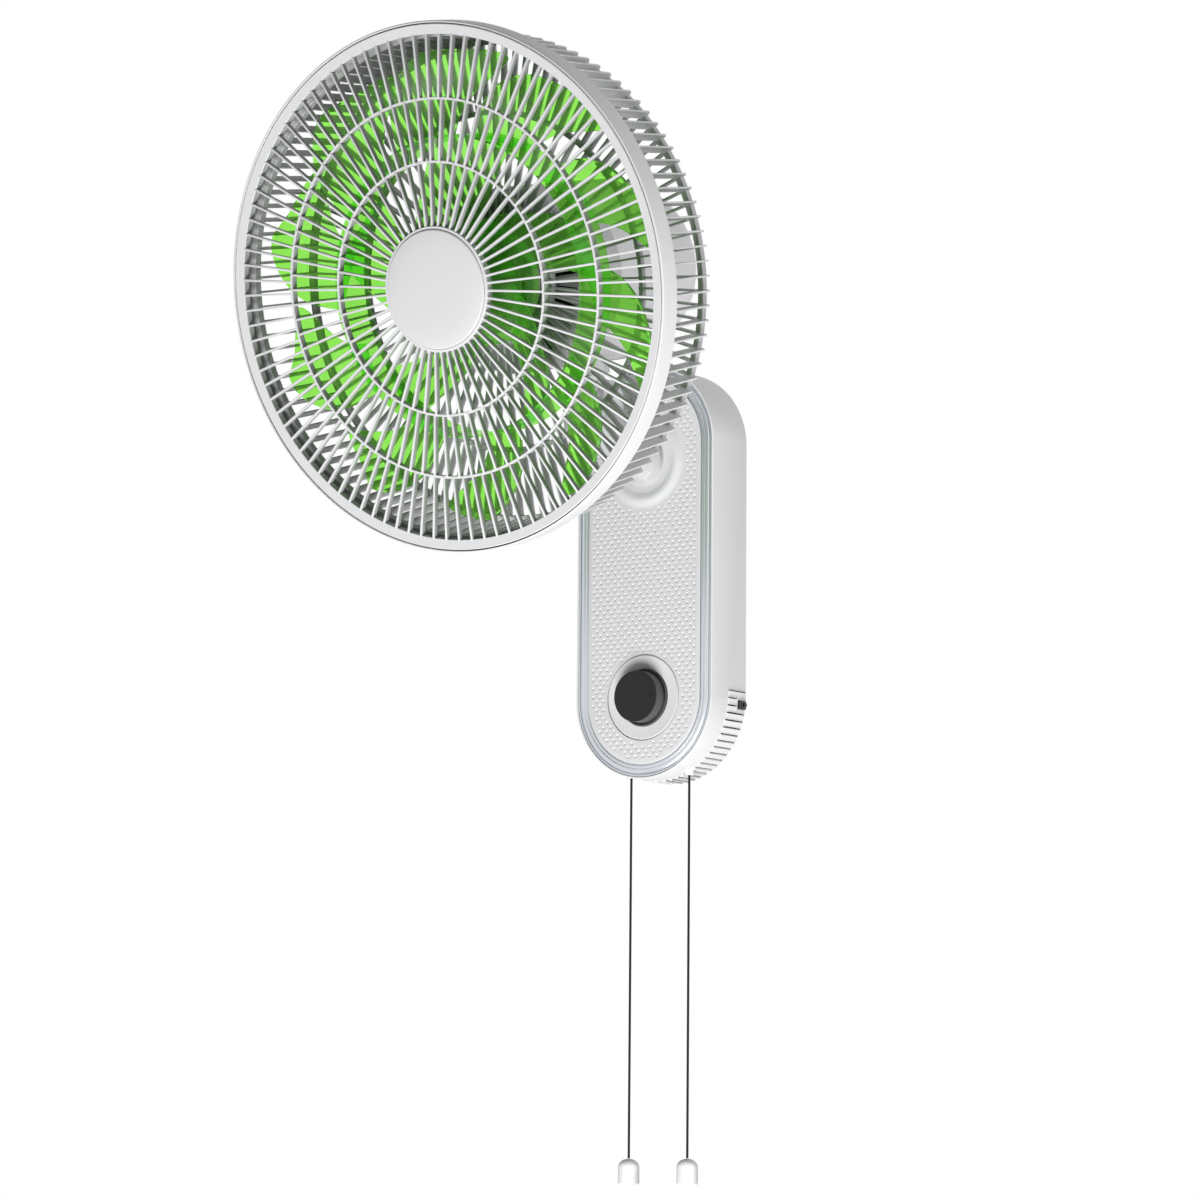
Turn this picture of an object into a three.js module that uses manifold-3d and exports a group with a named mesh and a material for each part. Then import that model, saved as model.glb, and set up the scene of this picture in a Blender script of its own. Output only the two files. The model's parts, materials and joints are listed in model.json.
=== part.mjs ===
// Wall fan with two pull cords: round guard on a tilting, swinging head, stadium-shaped wall base.
// Millimetres. X to the right, Y towards the wall (wall face at y = 0), Z up.
// The origin is the middle of the back face, where the wall plate meets the wall.

import * as THREE from 'three';
import { mergeVertices } from 'three/addons/utils/BufferGeometryUtils.js';
import Module from 'manifold-3d';

const wasm = await Module();
wasm.setup();

// ---------- driving dimensions ----------
const GAP = 0.3; // clearance between fitted pieces

const BASE = { width: 143, height: 364, depth: 54, back: 0.4, wall: 2.6, front: 2.4 };
const TRIM = { lip: 1.5, width: 10.7, sink: 2 }; // band between the shell's lip and the panel
const PANEL = { inset: 12.5, proud: 0.6 };
const ARM_DISH = { z: 96.5, radius: 42, ring: 6, hole: 27 };
const DIAL = { z: -111, radius: 37.5, floor: 25.3, dip: 1, sink: 4.5 };
const KNOB = { radius: 22.4, height: 16.2, dimple: 1.6, groove: 24, skirt: 25, skirtFront: 0.5 };
const VENT = { count: 18, width: 3.8, first: -107.9, pitch: 6.45, near: 1.3, far: 27.8, deep: 1.4 };
const GLAND = { z: -117.4, y: -7.4, height: 7.6, length: 10.4, proud: 1.6 };
const PLATE = { inset: BASE.wall + GAP, thick: 2, hole: 2.6, keyhole: 5.2, reach: 92 };

const CORD = { x: 30.6, y: -27.2, radius: 1.05, top: -150, bottom: -508.4, sides: 8 };
const PULL = { radius: 9.3, length: 22.2, dome: 7.5 };
const GUIDE = { outer: 4.2, bore: 2.2, top: -166, bottom: -178.4 };

const HEAD = { y: -351, z: 199.4, tilt: 13.8 }; // middle of the rim's front plane, nose down
const RIM = { radius: 220, depth: 20.3, wall: 2.6, face: 11.1, parting: 1.2 };
const GRILLE = { depth: 5.4, hub: 44, cap: 49.4, vaneStart: 52, ring1: 104.8, ring2: 156.6, ringWidth: 2.2 };
const GRILLE_DOME = [[44, -7.6], [52, -6.8], [104.8, -3.6], [156.6, -0.7], [208.9, 1.6], [217, 0.4]];
const GRILLE_VANES = [54, 77, 100]; // per annulus, from the cap outwards
const VANE = 2.0; // width of a vane's front edge
const CUP = { vanes: 36, vane: 3.2, front: 14.4, back: 90, radius: 215.5, rear: 208, depth: 8 };
const CUP_RINGS = [[31, 53], [140, 144], [198, 204]]; // rings that join the vanes at the back

const BLADE = { inner: 5, outer: 10, hub: 33, ring: 124, ringWall: 2, tip: 195, thick: 2.2 };
const BLADE_AXIAL = { ringFront: 20.7, ringBack: 64.5, inner: 43, outer: 29, hubFront: 23, hubBack: 67 };
const PITCH = { inner: -22, outer: -14 }; // blade pitch in degrees
const FIRST_BLADE = { inner: 11.5, outer: 13 }; // degrees from the right
const SHAFT = { radius: 4, front: 17, back: 190 };
const MOTOR = { radius: 79, front: 94, joint: 150, back: 305, wall: 2.6, boss: 30, bossFront: 70 };
const MOTOR_SLOTS = { count: 24, inner: 48, outer: 72, width: 4.6 };

const NECK = { along: 198.5, below: -109.9, knuckle: 17, width: 26 }; // tilt axis in the head's frame
const SPINDLE = { radius: 7, top: -60 };
const LEVER = { bottom: -68, reach: 14, pinTop: -58 };
const SWING = { behind: 37, crank: 13, throw: 7, pinAngle: -162, motor: 24 };
const LINK = { bottom: -57, thick: 3, end: 4.5 };

// ---------- finishes ----------
const finish = (color, roughness, metalness = 0, extra = {}) =>
  new THREE.MeshStandardMaterial({ color, roughness, metalness, ...extra });
const whitePlastic = finish(0xe9e9ea, 0.5);
const panelPlastic = finish(0xe2e2e3, 0.55);
const silverTrim = finish(0xb9bec3, 0.25, 0.6);
const blackPlastic = finish(0x262627, 0.7);
const greenPlastic = finish(0x6fe52c, 0.25, 0, { transparent: true, opacity: 0.75 });
const greyPlastic = finish(0xc4c4c5, 0.6);
const steel = finish(0xb4b7ba, 0.35, 1);
const laminations = finish(0x7d8084, 0.5, 1);
const copper = finish(0xb46a38, 0.4, 1);
const cordBlack = finish(0x1d1d1e, 0.85);

// ---------- small geometry helpers ----------
const rad = THREE.MathUtils.degToRad;
const HALF_TURN = Math.PI / 2;

function solid(geometry) {
  const bare = geometry.clone();
  bare.deleteAttribute('normal');
  bare.deleteAttribute('uv');
  const merged = mergeVertices(bare, 1e-4);
  const mesh = new wasm.Mesh({
    numProp: 3,
    vertProperties: merged.attributes.position.array,
    triVerts: Uint32Array.from(merged.index.array),
  });
  return new wasm.Manifold(mesh);
}

function fromSolid(manifold) {
  const mesh = manifold.getMesh();
  const geometry = new THREE.BufferGeometry();
  geometry.setAttribute('position', new THREE.BufferAttribute(mesh.vertProperties, 3));
  geometry.setIndex(new THREE.BufferAttribute(mesh.triVerts, 1));
  return geometry;
}

const join = (...parts) => fromSolid(parts.map(solid).reduce((a, b) => a.add(b)));

function cut(body, ...tools) {
  return fromSolid(tools.map(solid).reduce((a, b) => a.subtract(b), solid(body)));
}

// A flat shape drawn in X and Z, standing upright: its rear face at y = rear, `thick` deep.
function slab(shape, rear, thick, curveSegments = 12) {
  const geometry = new THREE.ExtrudeGeometry(shape, { depth: thick, bevelEnabled: false, curveSegments });
  return geometry.rotateX(HALF_TURN).translate(0, rear, 0);
}

// A turned piece round the Y axis; profile points are [radius, y].
function turnedY(profile, segments = 32) {
  return new THREE.LatheGeometry(profile.map(([r, y]) => new THREE.Vector2(r, y)), segments);
}

// A turned piece round a vertical axis; profile points are [radius, z].
const turnedZ = (profile, segments = 24) => turnedY(profile, segments).rotateX(HALF_TURN);

// A turned piece round the X axis; profile points are [radius, x].
const turnedX = (profile, segments = 24) => turnedY(profile, segments).rotateZ(-HALF_TURN);

const box = (sx, sy, sz, x, y, z) => new THREE.BoxGeometry(sx, sy, sz).translate(x, y, z);

// A tube section, counter-clockwise so that its faces point out.
function tube(inner, outer, from, to) {
  return [[inner, from], [outer, from], [outer, to], [inner, to], [inner, from]];
}

const rod = (radius, from, to) => [[0, from], [radius, from], [radius, to], [0, to]];

function stadium(width, height, z = 0, arcs = 14) {
  const radius = width / 2;
  const straight = height / 2 - radius;
  const shape = new THREE.Shape();
  for (let i = 0; i <= 2 * arcs + 1; i++) {
    const upper = i <= arcs;
    const angle = (Math.PI * (upper ? i : i - 1)) / arcs;
    const x = radius * Math.cos(angle);
    const y = radius * Math.sin(angle) + z + (upper ? straight : -straight);
    if (i === 0) shape.moveTo(x, y);
    else shape.lineTo(x, y);
  }
  shape.closePath();
  return shape;
}

const baseOutline = (inset, z = 0) => stadium(BASE.width - 2 * inset, BASE.height - 2 * inset, z);

function circlePath(radius, x = 0, z = 0) {
  return new THREE.Path().absarc(x, z, radius, 0, 2 * Math.PI, true);
}

function disc(radius, ...holes) {
  const shape = new THREE.Shape().absarc(0, 0, radius, 0, 2 * Math.PI, false);
  shape.holes.push(...holes);
  return shape;
}

// The gap between two radial vanes: straight sides, `half` is half a vane's width.
function sectorHole(inner, outer, angle, step, half) {
  const corner = (radius, side) => {
    const a = angle + side * (step / 2 - Math.asin(half / radius));
    return new THREE.Vector2(radius * Math.cos(a), radius * Math.sin(a));
  };
  return new THREE.Path([corner(inner, -1), corner(inner, 1), corner(outer, 1), corner(outer, -1)]);
}

function sectorHoles(inner, outer, count, half, phase = 0.5) {
  const step = (2 * Math.PI) / count;
  return Array.from({ length: count }, (_, i) => sectorHole(inner, outer, (i + phase) * step, step, half));
}

function interpolate(table, radius) {
  const next = Math.max(1, table.findIndex(([r]) => r >= radius));
  const [[r0, y0], [r1, y1]] = radius >= table.at(-1)[0] ? table.slice(-2) : [table[next - 1], table[next]];
  return y0 + ((y1 - y0) * (radius - r0)) / (r1 - r0);
}

// ---------- groups: fixed base, tilting neck, head ----------
const fan = new THREE.Group();
const headFrame = new THREE.Group(); // local Y runs back along the fan's axis from the rim's front
headFrame.position.set(0, HEAD.y, HEAD.z);
headFrame.rotation.x = rad(HEAD.tilt);
fan.add(headFrame);

function add(name, geometry, material, parent = fan) {
  const mesh = new THREE.Mesh(geometry, material);
  mesh.name = name;
  parent.add(mesh);
  return mesh;
}

// The tilt axis seen from the wall.
const tiltAxis = new THREE.Vector3(0, NECK.along, NECK.below)
  .applyAxisAngle(new THREE.Vector3(1, 0, 0), rad(HEAD.tilt))
  .add(headFrame.position);

// ---------- wall base ----------
function wallPlate() {
  const shape = baseOutline(PLATE.inset);
  for (const side of [-1, 1]) {
    shape.holes.push(circlePath(PLATE.hole, side * 26, 0));
    const z = side * PLATE.reach;
    const neck = PLATE.hole;
    const wide = PLATE.keyhole;
    const keyhole = new THREE.Path().absarc(0, z, wide, HALF_TURN - 0.5, HALF_TURN + 0.5 - 2 * Math.PI, true);
    keyhole.absarc(0, z + 2 * wide, neck, Math.PI, 0, true);
    shape.holes.push(keyhole);
  }
  add('wall_plate', slab(shape, 0, PLATE.thick, 6), greyPlastic);
}

function ventCutters() {
  const cutters = [];
  const arc = BASE.width / 2;
  const centre = -(BASE.height / 2 - arc);
  const length = VENT.far - VENT.near;
  for (let i = 0; i < VENT.count; i++) {
    // The recesses run down the last of the straight side and on round the lower arc.
    const travel = VENT.first - VENT.pitch * i;
    const angle = travel > centre ? 0 : (travel - centre) / arc;
    const z = travel > centre ? travel : centre;
    for (const side of [-1, 1]) {
      const slot = box(8, length, VENT.width, arc - VENT.deep + 4, -(VENT.near + length / 2), 0);
      slot.rotateY(-angle).translate(0, 0, z);
      cutters.push(side > 0 ? slot : slot.rotateY(Math.PI).translate(0, -(VENT.near + VENT.far), 2 * z));
    }
  }
  return cutters;
}

function baseShell() {
  const outside = slab(baseOutline(0), -BASE.back, BASE.depth - BASE.back);
  const inside = slab(baseOutline(BASE.wall), BASE.wall, BASE.depth - TRIM.sink - BASE.front + BASE.wall);
  const recess = slab(baseOutline(TRIM.lip), -(BASE.depth - TRIM.sink), TRIM.sink + 1);
  const armHole = turnedY(rod(9, -BASE.depth - 1, -40), 16).translate(0, 0, ARM_DISH.z);
  const dialHole = turnedY(rod(DIAL.radius - 3.3, -BASE.depth - 1, -40), 24).translate(0, 0, DIAL.z);
  const glandHole = box(12, GLAND.length + GAP, GLAND.height + GAP, BASE.width / 2, GLAND.y, GLAND.z);
  const guides = [-1, 1].map((side) =>
    turnedZ(rod(GUIDE.outer + GAP, GUIDE.bottom - 2, GUIDE.top + 2), 16).translate(side * CORD.x, CORD.y, 0));
  const screws = [-1, 1].map((side) =>
    turnedY(rod(2.4, -BASE.depth - 1, -40), 10).translate(side * 16, 0, ARM_DISH.z));
  const cutters = [inside, recess, armHole, dialHole, glandHole, ...guides, ...screws];
  const shell = cutters.map(solid).reduce((a, b) => a.subtract(b), solid(outside));
  const vents = ventCutters().filter((slot) => !slotMeetsGland(slot));
  add('base_shell', fromSolid(vents.map(solid).reduce((a, b) => a.subtract(b), shell)), whitePlastic);
}

// The cord gland takes the place of any recess that would touch it.
function slotMeetsGland(slot) {
  slot.computeBoundingBox();
  const { min, max } = slot.boundingBox;
  const reach = GLAND.height / 2 + 1;
  return max.x > 0 && min.x > 0 && max.z > GLAND.z - reach && min.z < GLAND.z + reach;
}

function trimRing() {
  const shape = baseOutline(TRIM.lip + GAP);
  const back = -(BASE.depth - TRIM.sink) - GAP;
  shape.holes.push(new THREE.Path(baseOutline(TRIM.lip + TRIM.width).getPoints().reverse()));
  const ridge = baseOutline(TRIM.lip + 3.4);
  ridge.holes.push(new THREE.Path(baseOutline(TRIM.lip + 6.2).getPoints().reverse()));
  add('trim_ring', join(slab(shape, back, 1.3), slab(ridge, back - 0.5, 1.5)), silverTrim);
}

function frontPanel() {
  const back = -(BASE.depth - TRIM.sink) - GAP;
  const front = -(BASE.depth + PANEL.proud);
  const shape = baseOutline(PANEL.inset);
  shape.holes.push(circlePath(DIAL.radius + GAP, 0, DIAL.z), circlePath(ARM_DISH.hole + GAP, 0, ARM_DISH.z));
  const plate = slab(shape, back, back - front, 12);
  const { radius, ring } = ARM_DISH;
  const bead = turnedY([
    [radius - ring, front + 0.8], [radius - ring * 0.7, front - 1.6], [radius - ring * 0.45, front - 2.2],
    [radius - ring * 0.2, front - 1.6], [radius, front + 0.8], [radius - ring, front + 0.8],
  ], 24).translate(0, 0, ARM_DISH.z);
  add('front_panel', join(plate, bead), panelPlastic);
}

function dialDish() {
  const rim = -(BASE.depth + PANEL.proud);
  const under = -(BASE.depth - TRIM.sink) - GAP;
  const floor = rim + DIAL.sink;
  const back = floor + 1.6;
  const profile = [
    [7, floor], [DIAL.floor, floor], [DIAL.floor, rim + DIAL.dip], [DIAL.radius - 1.2, rim],
    [DIAL.radius, rim], [DIAL.radius, under], [DIAL.radius - 4, under], [DIAL.floor, back], [7, back],
    [7, floor],
  ];
  return turnedY(profile, 24).translate(0, 0, DIAL.z);
}

function dialAndKnob() {
  add('dial_dish', dialDish(), whitePlastic);
  const rim = -(BASE.depth + PANEL.proud);
  const floor = rim + DIAL.sink;
  const face = floor - 0.6 - KNOB.height;
  const { radius, groove, skirt } = KNOB;
  const skirtFront = rim - KNOB.skirtFront;
  const knobBody = turnedY([
    [0, face], [radius - 1.2, face], [radius, face + 1.2], [radius, rim + 2], [groove, rim + 2],
    [groove, skirtFront], [skirt, skirtFront], [skirt, floor - 0.6], [0, floor - 0.6],
  ], 24);
  const socket = turnedY(rod(3 + GAP, floor - 10, floor + 1), 16);
  const dimple = turnedY(rod(KNOB.dimple, face - 1, face + 0.6), 10).translate(radius - 5.5, 0, 1);
  add('timer_knob', cut(knobBody, socket, dimple).translate(0, 0, DIAL.z), blackPlastic);
  add('timer_shaft', turnedY(rod(3, floor - 9.6, -37.5), 16).translate(0, 0, DIAL.z), steel);
  const caseBody = box(34, 22, 34, 0, -37, DIAL.z);
  const pocket = turnedY(rod(3 + GAP, -49, -37.5 + GAP), 16).translate(0, 0, DIAL.z);
  add('timer_switch', cut(caseBody, pocket), greyPlastic);
}

function baseInternals() {
  for (const [side, name] of [[-1, 'speed_switch'], [1, 'swing_switch']]) {
    const body = box(24, 30, 22, side * CORD.x * 1.04, CORD.y + 2, CORD.top + GAP + 11.2);
    add(name, body, greyPlastic);
  }
  for (const [side, name] of [[-1, 'cord_guide_left'], [1, 'cord_guide_right']]) {
    const eyelet = turnedZ(tube(GUIDE.bore, GUIDE.outer, GUIDE.bottom, GUIDE.top), 16);
    add(name, eyelet.translate(side * CORD.x, CORD.y, 0), whitePlastic);
  }
  add('run_capacitor', box(38, 20, 26, 0, -34, -28), blackPlastic);
  add('terminal_block', box(44, 16, 18, 0, -16, 24), greyPlastic);
  const gland = box(10, GLAND.length, GLAND.height, BASE.width / 2 - 5 + GLAND.proud, GLAND.y, GLAND.z);
  const nib = box(2.2, 3.4, 3.4, BASE.width / 2 + GLAND.proud + 0.6, GLAND.y + 2.2, GLAND.z);
  add('cord_gland', join(gland, nib), blackPlastic);
}

// ---------- arm from the base up to the tilt hinge ----------
function baseArm() {
  const start = new THREE.Vector3(0, -BASE.depth - PANEL.proud - GAP, ARM_DISH.z);
  const end = tiltAxis.clone();
  const path = new THREE.CatmullRomCurve3([
    new THREE.Vector3(0, start.y - 2, start.z), new THREE.Vector3(0, start.y - 14, start.z + 2),
    new THREE.Vector3(0, start.y - 42, start.z + 15), new THREE.Vector3(0, end.y + 12, end.z - 20),
  ]);
  const section = new THREE.Shape().absellipse(0, 0, 15, 19, 0, 2 * Math.PI, false);
  const sweep = { extrudePath: path, steps: 7, curveSegments: 5, bevelEnabled: false };
  const elbow = new THREE.ExtrudeGeometry(section, sweep);
  const flange = turnedY([
    [0, start.y - 6], [18, start.y - 6], [ARM_DISH.hole, start.y - 1], [ARM_DISH.hole, -52.3], [0, -52.3],
  ], 32).translate(0, 0, ARM_DISH.z);
  const yoke = box(44, 32, 15, 0, end.y + 3, end.z - 21);
  const ears = [-1, 1].map((side) => {
    const inner = NECK.width / 2 + GAP;
    const ear = turnedX(rod(15, inner, inner + 7.5), 24);
    const web = box(7.5, 30, 20, inner + 3.75, 0, -12);
    const pair = join(ear, web);
    return (side < 0 ? pair.rotateZ(Math.PI) : pair).translate(0, end.y, end.z);
  });
  const clear = turnedX(rod(NECK.knuckle + 1, -NECK.width / 2 - GAP, NECK.width / 2 + GAP), 32);
  const bore = turnedX(rod(4 + GAP, -40, 40), 16).translate(0, end.y, end.z);
  const holes = [-1, 1].map((side) => turnedY(rod(1.7, -60, -50), 10).translate(side * 16, 0, ARM_DISH.z));
  const cable = turnedY(rod(4, -62, -50), 10).translate(0, 0, ARM_DISH.z);
  const body = [elbow, flange, yoke, ...ears].map(solid).reduce((a, b) => a.add(b));
  const tools = [clear.translate(0, end.y, end.z), bore, cable, ...holes];
  const arm = tools.map(solid).reduce((a, b) => a.subtract(b), body);
  add('base_arm', fromSolid(arm), whitePlastic);
  for (const [side, name] of [[-1, 'arm_screw_left'], [1, 'arm_screw_right']]) {
    const screw = turnedY([[0, -59], [1.4, -59], [1.4, -49.2], [3.6, -49.2], [3.6, -47], [0, -47]], 10);
    add(name, screw.translate(side * 16, 0, ARM_DISH.z), steel);
  }
}

function tiltBolt() {
  const reach = NECK.width / 2 + 7.5 + 2 * GAP;
  const shank = turnedX(rod(4, -reach - 5, reach + 0.01), 16);
  const head = turnedX(rod(8, reach, reach + 4), 6);
  add('tilt_bolt', join(shank, head).translate(0, tiltAxis.y, tiltAxis.z), steel);
  const nut = turnedX(tube(5, 8, -reach - 5, -reach), 6);
  add('tilt_nut', nut.translate(0, tiltAxis.y, tiltAxis.z), steel);
}

// ---------- neck: tilts on the bolt and carries the swing spindle (head's frame) ----------
function neck() {
  const { along, below, knuckle, width } = NECK;
  const barrel = turnedX(rod(knuckle, -width / 2, width / 2), 32).translate(0, along, below);
  const post = turnedZ(rod(12, 0, knuckle + 4), 24).translate(0, along, below);
  const bore = turnedX(rod(4 + GAP, -width, width), 16).translate(0, along, below);
  const socket = turnedZ(rod(SPINDLE.radius + GAP, 8, 40), 20).translate(0, along, below);
  const body = [bore, socket].map(solid).reduce((a, b) => a.subtract(b), solid(join(barrel, post)));
  add('tilt_knuckle', fromSolid(body), whitePlastic, headFrame);
  const spindle = turnedZ(rod(SPINDLE.radius, 8 + GAP, SPINDLE.top - below), 20);
  add('swing_spindle', spindle.translate(0, along, below), steel, headFrame);
  const collar = turnedZ(tube(SPINDLE.radius + GAP, 12, LEVER.bottom, LEVER.bottom + 4), 20);
  const bar = box(10, 8, 4, LEVER.reach - 1, 0, LEVER.bottom + 2);
  const pin = turnedZ(rod(2, LEVER.bottom + 1, LEVER.pinTop), 10).translate(LEVER.reach, 0, 0);
  add('swing_lever', join(collar, bar, pin).translate(0, along, 0), steel, headFrame);
}

// ---------- head ----------
function headBearing() {
  const { along, below, knuckle } = NECK;
  const bottom = below + knuckle + 4 + GAP;
  const collar = turnedZ(tube(SPINDLE.radius + GAP, 17, bottom, -70), 28);
  add('swing_bearing', collar.translate(0, along, 0), blackPlastic, headFrame);
}

function motorCovers() {
  const { radius, front, joint, back, wall, boss, bossFront } = MOTOR;
  const slots = MOTOR_SLOTS;
  const step = (2 * Math.PI) / slots.count;
  const face = disc(radius - 3, circlePath(boss - 1), ...Array.from({ length: slots.count }, (_, i) =>
    sectorHole(slots.inner, slots.outer, (i + 0.5) * step, slots.width / slots.outer, -slots.width / 4)));
  const facePlate = slab(face, front + wall, wall, 12);
  const skirt = turnedY([
    [radius - 4, front], [radius, front + 5], [radius, joint], [radius - wall, joint],
    [radius - wall, front + 6], [radius - 5, front + wall], [radius - 4, front],
  ], 24);
  const bossTube = turnedY(tube(boss - wall, boss, bossFront, front + wall), 16);
  add('motor_front_cover', join(facePlate, skirt, bossTube), greyPlastic, headFrame);

  const seat = joint + GAP;
  const outer = [
    [radius, seat], [radius, back - 43], [radius - 2, back - 31], [radius - 8, back - 18],
    [radius - 19, back - 8], [radius - 35, back - 2], [radius - 54, back], [0, back],
  ];
  const inner = outer.map(([r, y]) => [Math.max(0, r - wall), y === seat ? y : y - wall * 0.8]);
  const shell = solid(turnedY([...outer.slice().reverse(), ...inner].reverse(), 28));
  const opening = turnedZ(rod(17 + GAP, -90, -40), 28).translate(0, NECK.along, 0);
  add('motor_rear_cover', fromSolid(shell.subtract(solid(opening))), whitePlastic, headFrame);
}

function motorInside() {
  const stator = disc(50, circlePath(25));
  add('stator_core', slab(stator, 148, 36, 12), laminations, headFrame);
  add('field_windings', turnedY(tube(28, 44, 148 + GAP, 162), 28), copper, headFrame);
  const bracket = (near, far, cup) => turnedY([
    [9, near], [52, near], [52, far], [15, far], [15, cup], [9, cup], [9, near],
  ], 24);
  add('front_bracket', bracket(100, 103, 108), steel, headFrame);
  add('rear_bracket', bracket(166, 169, 177), steel, headFrame);
  add('front_bearing', turnedY(tube(SHAFT.radius + GAP, 9 - GAP, 100.5, 108), 20), steel, headFrame);
  add('rear_bearing', turnedY(tube(SHAFT.radius + GAP, 9 - GAP, 167, 176), 20), steel, headFrame);
  const swing = turnedZ(rod(SWING.motor, -44, -24), 24).translate(0, NECK.along + SWING.behind, 0);
  const hub = turnedZ(rod(3 - GAP / 2, -47, -24), 12).translate(0, NECK.along + SWING.behind, 0);
  add('swing_motor', join(swing, hub), greyPlastic, headFrame);
}

function rotor() {
  add('rotor_shaft', turnedY(rod(SHAFT.radius, SHAFT.front, SHAFT.back), 16), steel, headFrame);
  const core = turnedY(tube(SHAFT.radius + GAP, 24.3, 113, 147), 32);
  add('rotor_core', core, laminations, headFrame);
  const nut = turnedY([
    [0, 8], [12, 8], [16, 12], [16, 22.6], [SHAFT.radius + GAP, 22.6],
    [SHAFT.radius + GAP, SHAFT.front - GAP], [0, SHAFT.front - GAP],
  ], 24);
  add('blade_nut', nut, blackPlastic, headFrame);
}

// A rounded petal drawn in radius (x) and circumference (y), as a flat plate.
function petal(inner, outer, root, belly, tip) {
  const length = outer - inner;
  const shape = new THREE.Shape();
  const near = inner + length * 0.3;
  const far = outer - length * 0.3;
  shape.moveTo(inner, -root / 2);
  shape.bezierCurveTo(near, -belly / 2, far, -belly / 2 - 3, outer - 6, -tip / 2);
  shape.quadraticCurveTo(outer + 4, 0, outer - 6, tip / 2);
  shape.bezierCurveTo(far, belly / 2 + 3, near, belly / 2, inner, root / 2);
  shape.closePath();
  return shape;
}

function blade(shape, pitch, angle, middle) {
  const settings = { depth: BLADE.thick, bevelEnabled: false, curveSegments: 2 };
  const plate = new THREE.ExtrudeGeometry(shape, settings);
  plate.translate(0, 0, -BLADE.thick / 2).rotateX(HALF_TURN + rad(pitch));
  return plate.rotateY(-angle).translate(0, middle, 0);
}

function impeller() {
  const { ringFront, ringBack, hubFront, hubBack } = BLADE_AXIAL;
  const ring = solid(turnedY(tube(BLADE.ring, BLADE.ring + BLADE.ringWall, ringFront, ringBack), 30));
  const hub = solid(turnedY([
    [SHAFT.radius + GAP, hubFront], [BLADE.hub - 4, hubFront], [BLADE.hub, hubFront + 4],
    [BLADE.hub, hubBack], [SHAFT.radius + GAP, hubBack], [SHAFT.radius + GAP, hubFront],
  ], 28));
  const inner = petal(BLADE.hub - 2, BLADE.ring + 1, 40, 74, 66);
  const outer = petal(BLADE.ring + 0.6, BLADE.tip, 68, 90, 62);
  const ringOf = (count, shape, kind) => Array.from({ length: count }, (_, i) => {
    const angle = rad(FIRST_BLADE[kind]) + (2 * Math.PI * i) / count;
    return solid(blade(shape, PITCH[kind], angle, BLADE_AXIAL[kind]));
  });
  const blades = [...ringOf(BLADE.inner, inner, 'inner'), ...ringOf(BLADE.outer, outer, 'outer')];
  add('impeller', fromSolid(blades.reduce((a, b) => a.add(b), hub.add(ring))), greenPlastic, headFrame);
}

function frontGrille() {
  const { hub, vaneStart, ring1, ring2, ringWidth, depth } = GRILLE;
  const half = VANE / 2;
  const w = ringWidth / 2;
  const rimInner = RIM.radius - RIM.face;
  const holes = [
    ...sectorHoles(vaneStart, ring1 - w, GRILLE_VANES[0], half),
    ...sectorHoles(ring1 + w, ring2 - w, GRILLE_VANES[1], half),
    ...sectorHoles(ring2 + w, rimInner, GRILLE_VANES[2], half),
  ];
  const shape = disc(RIM.radius - RIM.parting - RIM.wall - GAP, circlePath(hub), ...holes);
  const grille = slab(shape, depth, depth, 40);
  const position = grille.attributes.position;
  for (let i = 0; i < position.count; i++) {
    const radius = Math.hypot(position.getX(i), position.getZ(i));
    position.setY(i, position.getY(i) + interpolate(GRILLE_DOME, radius));
  }
  add('front_grille', grille, whitePlastic, headFrame);
  const face = GRILLE_DOME[0][1];
  const cap = turnedY([
    [0, face - 2.6], [GRILLE.cap - 1.5, face - 2], [GRILLE.cap, face - 0.8], [GRILLE.cap, face - GAP],
    [hub - GAP, face - GAP], [hub - GAP, face + 6], [hub - 2.5, face + 6], [hub - 2.5, face], [0, face],
  ], 24);
  add('centre_cap', cap, whitePlastic, headFrame);
}

function rimBand() {
  const { radius, depth, wall } = RIM;
  const seat = radius - RIM.parting - wall + GAP;
  const profile = [
    [seat, 0], [radius - 1, 0], [radius, 1], [radius, depth], [seat, depth], [seat, 14], [seat - 6, 14],
    [seat - 6, 13], [seat, 13], [seat, 0],
  ];
  add('rim_band', turnedY(profile, 54), whitePlastic, headFrame);
}

// Flat vanes standing radially round the fan's axis; outline points are [radius, y].
function vanesRound(outline) {
  const { vanes, vane } = CUP;
  const shape = new THREE.Shape(outline.map(([r, y]) => new THREE.Vector2(r, y)));
  return Array.from({ length: vanes }, (_, i) => {
    const rib = new THREE.ExtrudeGeometry(shape, { depth: vane, bevelEnabled: false });
    return rib.translate(0, 0, -vane / 2).rotateY((2 * Math.PI * (i + 0.5)) / vanes);
  });
}

// The rear guard in two nodes that meet at the rear corner: the side cage and the flat back.
function rearGuard() {
  const { front, back, radius, rear, depth } = CUP;
  const corner = back - depth;
  const sideVanes = vanesRound([
    [rear - 8, corner - GAP], [radius - 8, front + 3], [radius - 1, front + 3], [rear, corner - GAP],
  ]);
  const hoop = turnedY(tube(radius - 8.5, radius, front, front + 8), 36);
  add('rear_guard_side', join(...sideVanes, hoop), whitePlastic, headFrame);
  const backVanes = vanesRound([
    [52, corner], [rear, corner], [rear - 0.5, back - 3.5], [rear - 4, back], [52, back],
  ]);
  const rings = CUP_RINGS.map(([inner, outer]) => turnedY(tube(inner, outer, back - 5, back - 1), 27));
  add('rear_guard_back', join(...backVanes, ...rings), whitePlastic, headFrame);
  const nut = turnedY(tube(MOTOR.boss + 0.8, MOTOR.boss + 13, corner - 8.3, corner - GAP), 24);
  add('guard_nut', nut, whitePlastic, headFrame);
}

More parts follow.
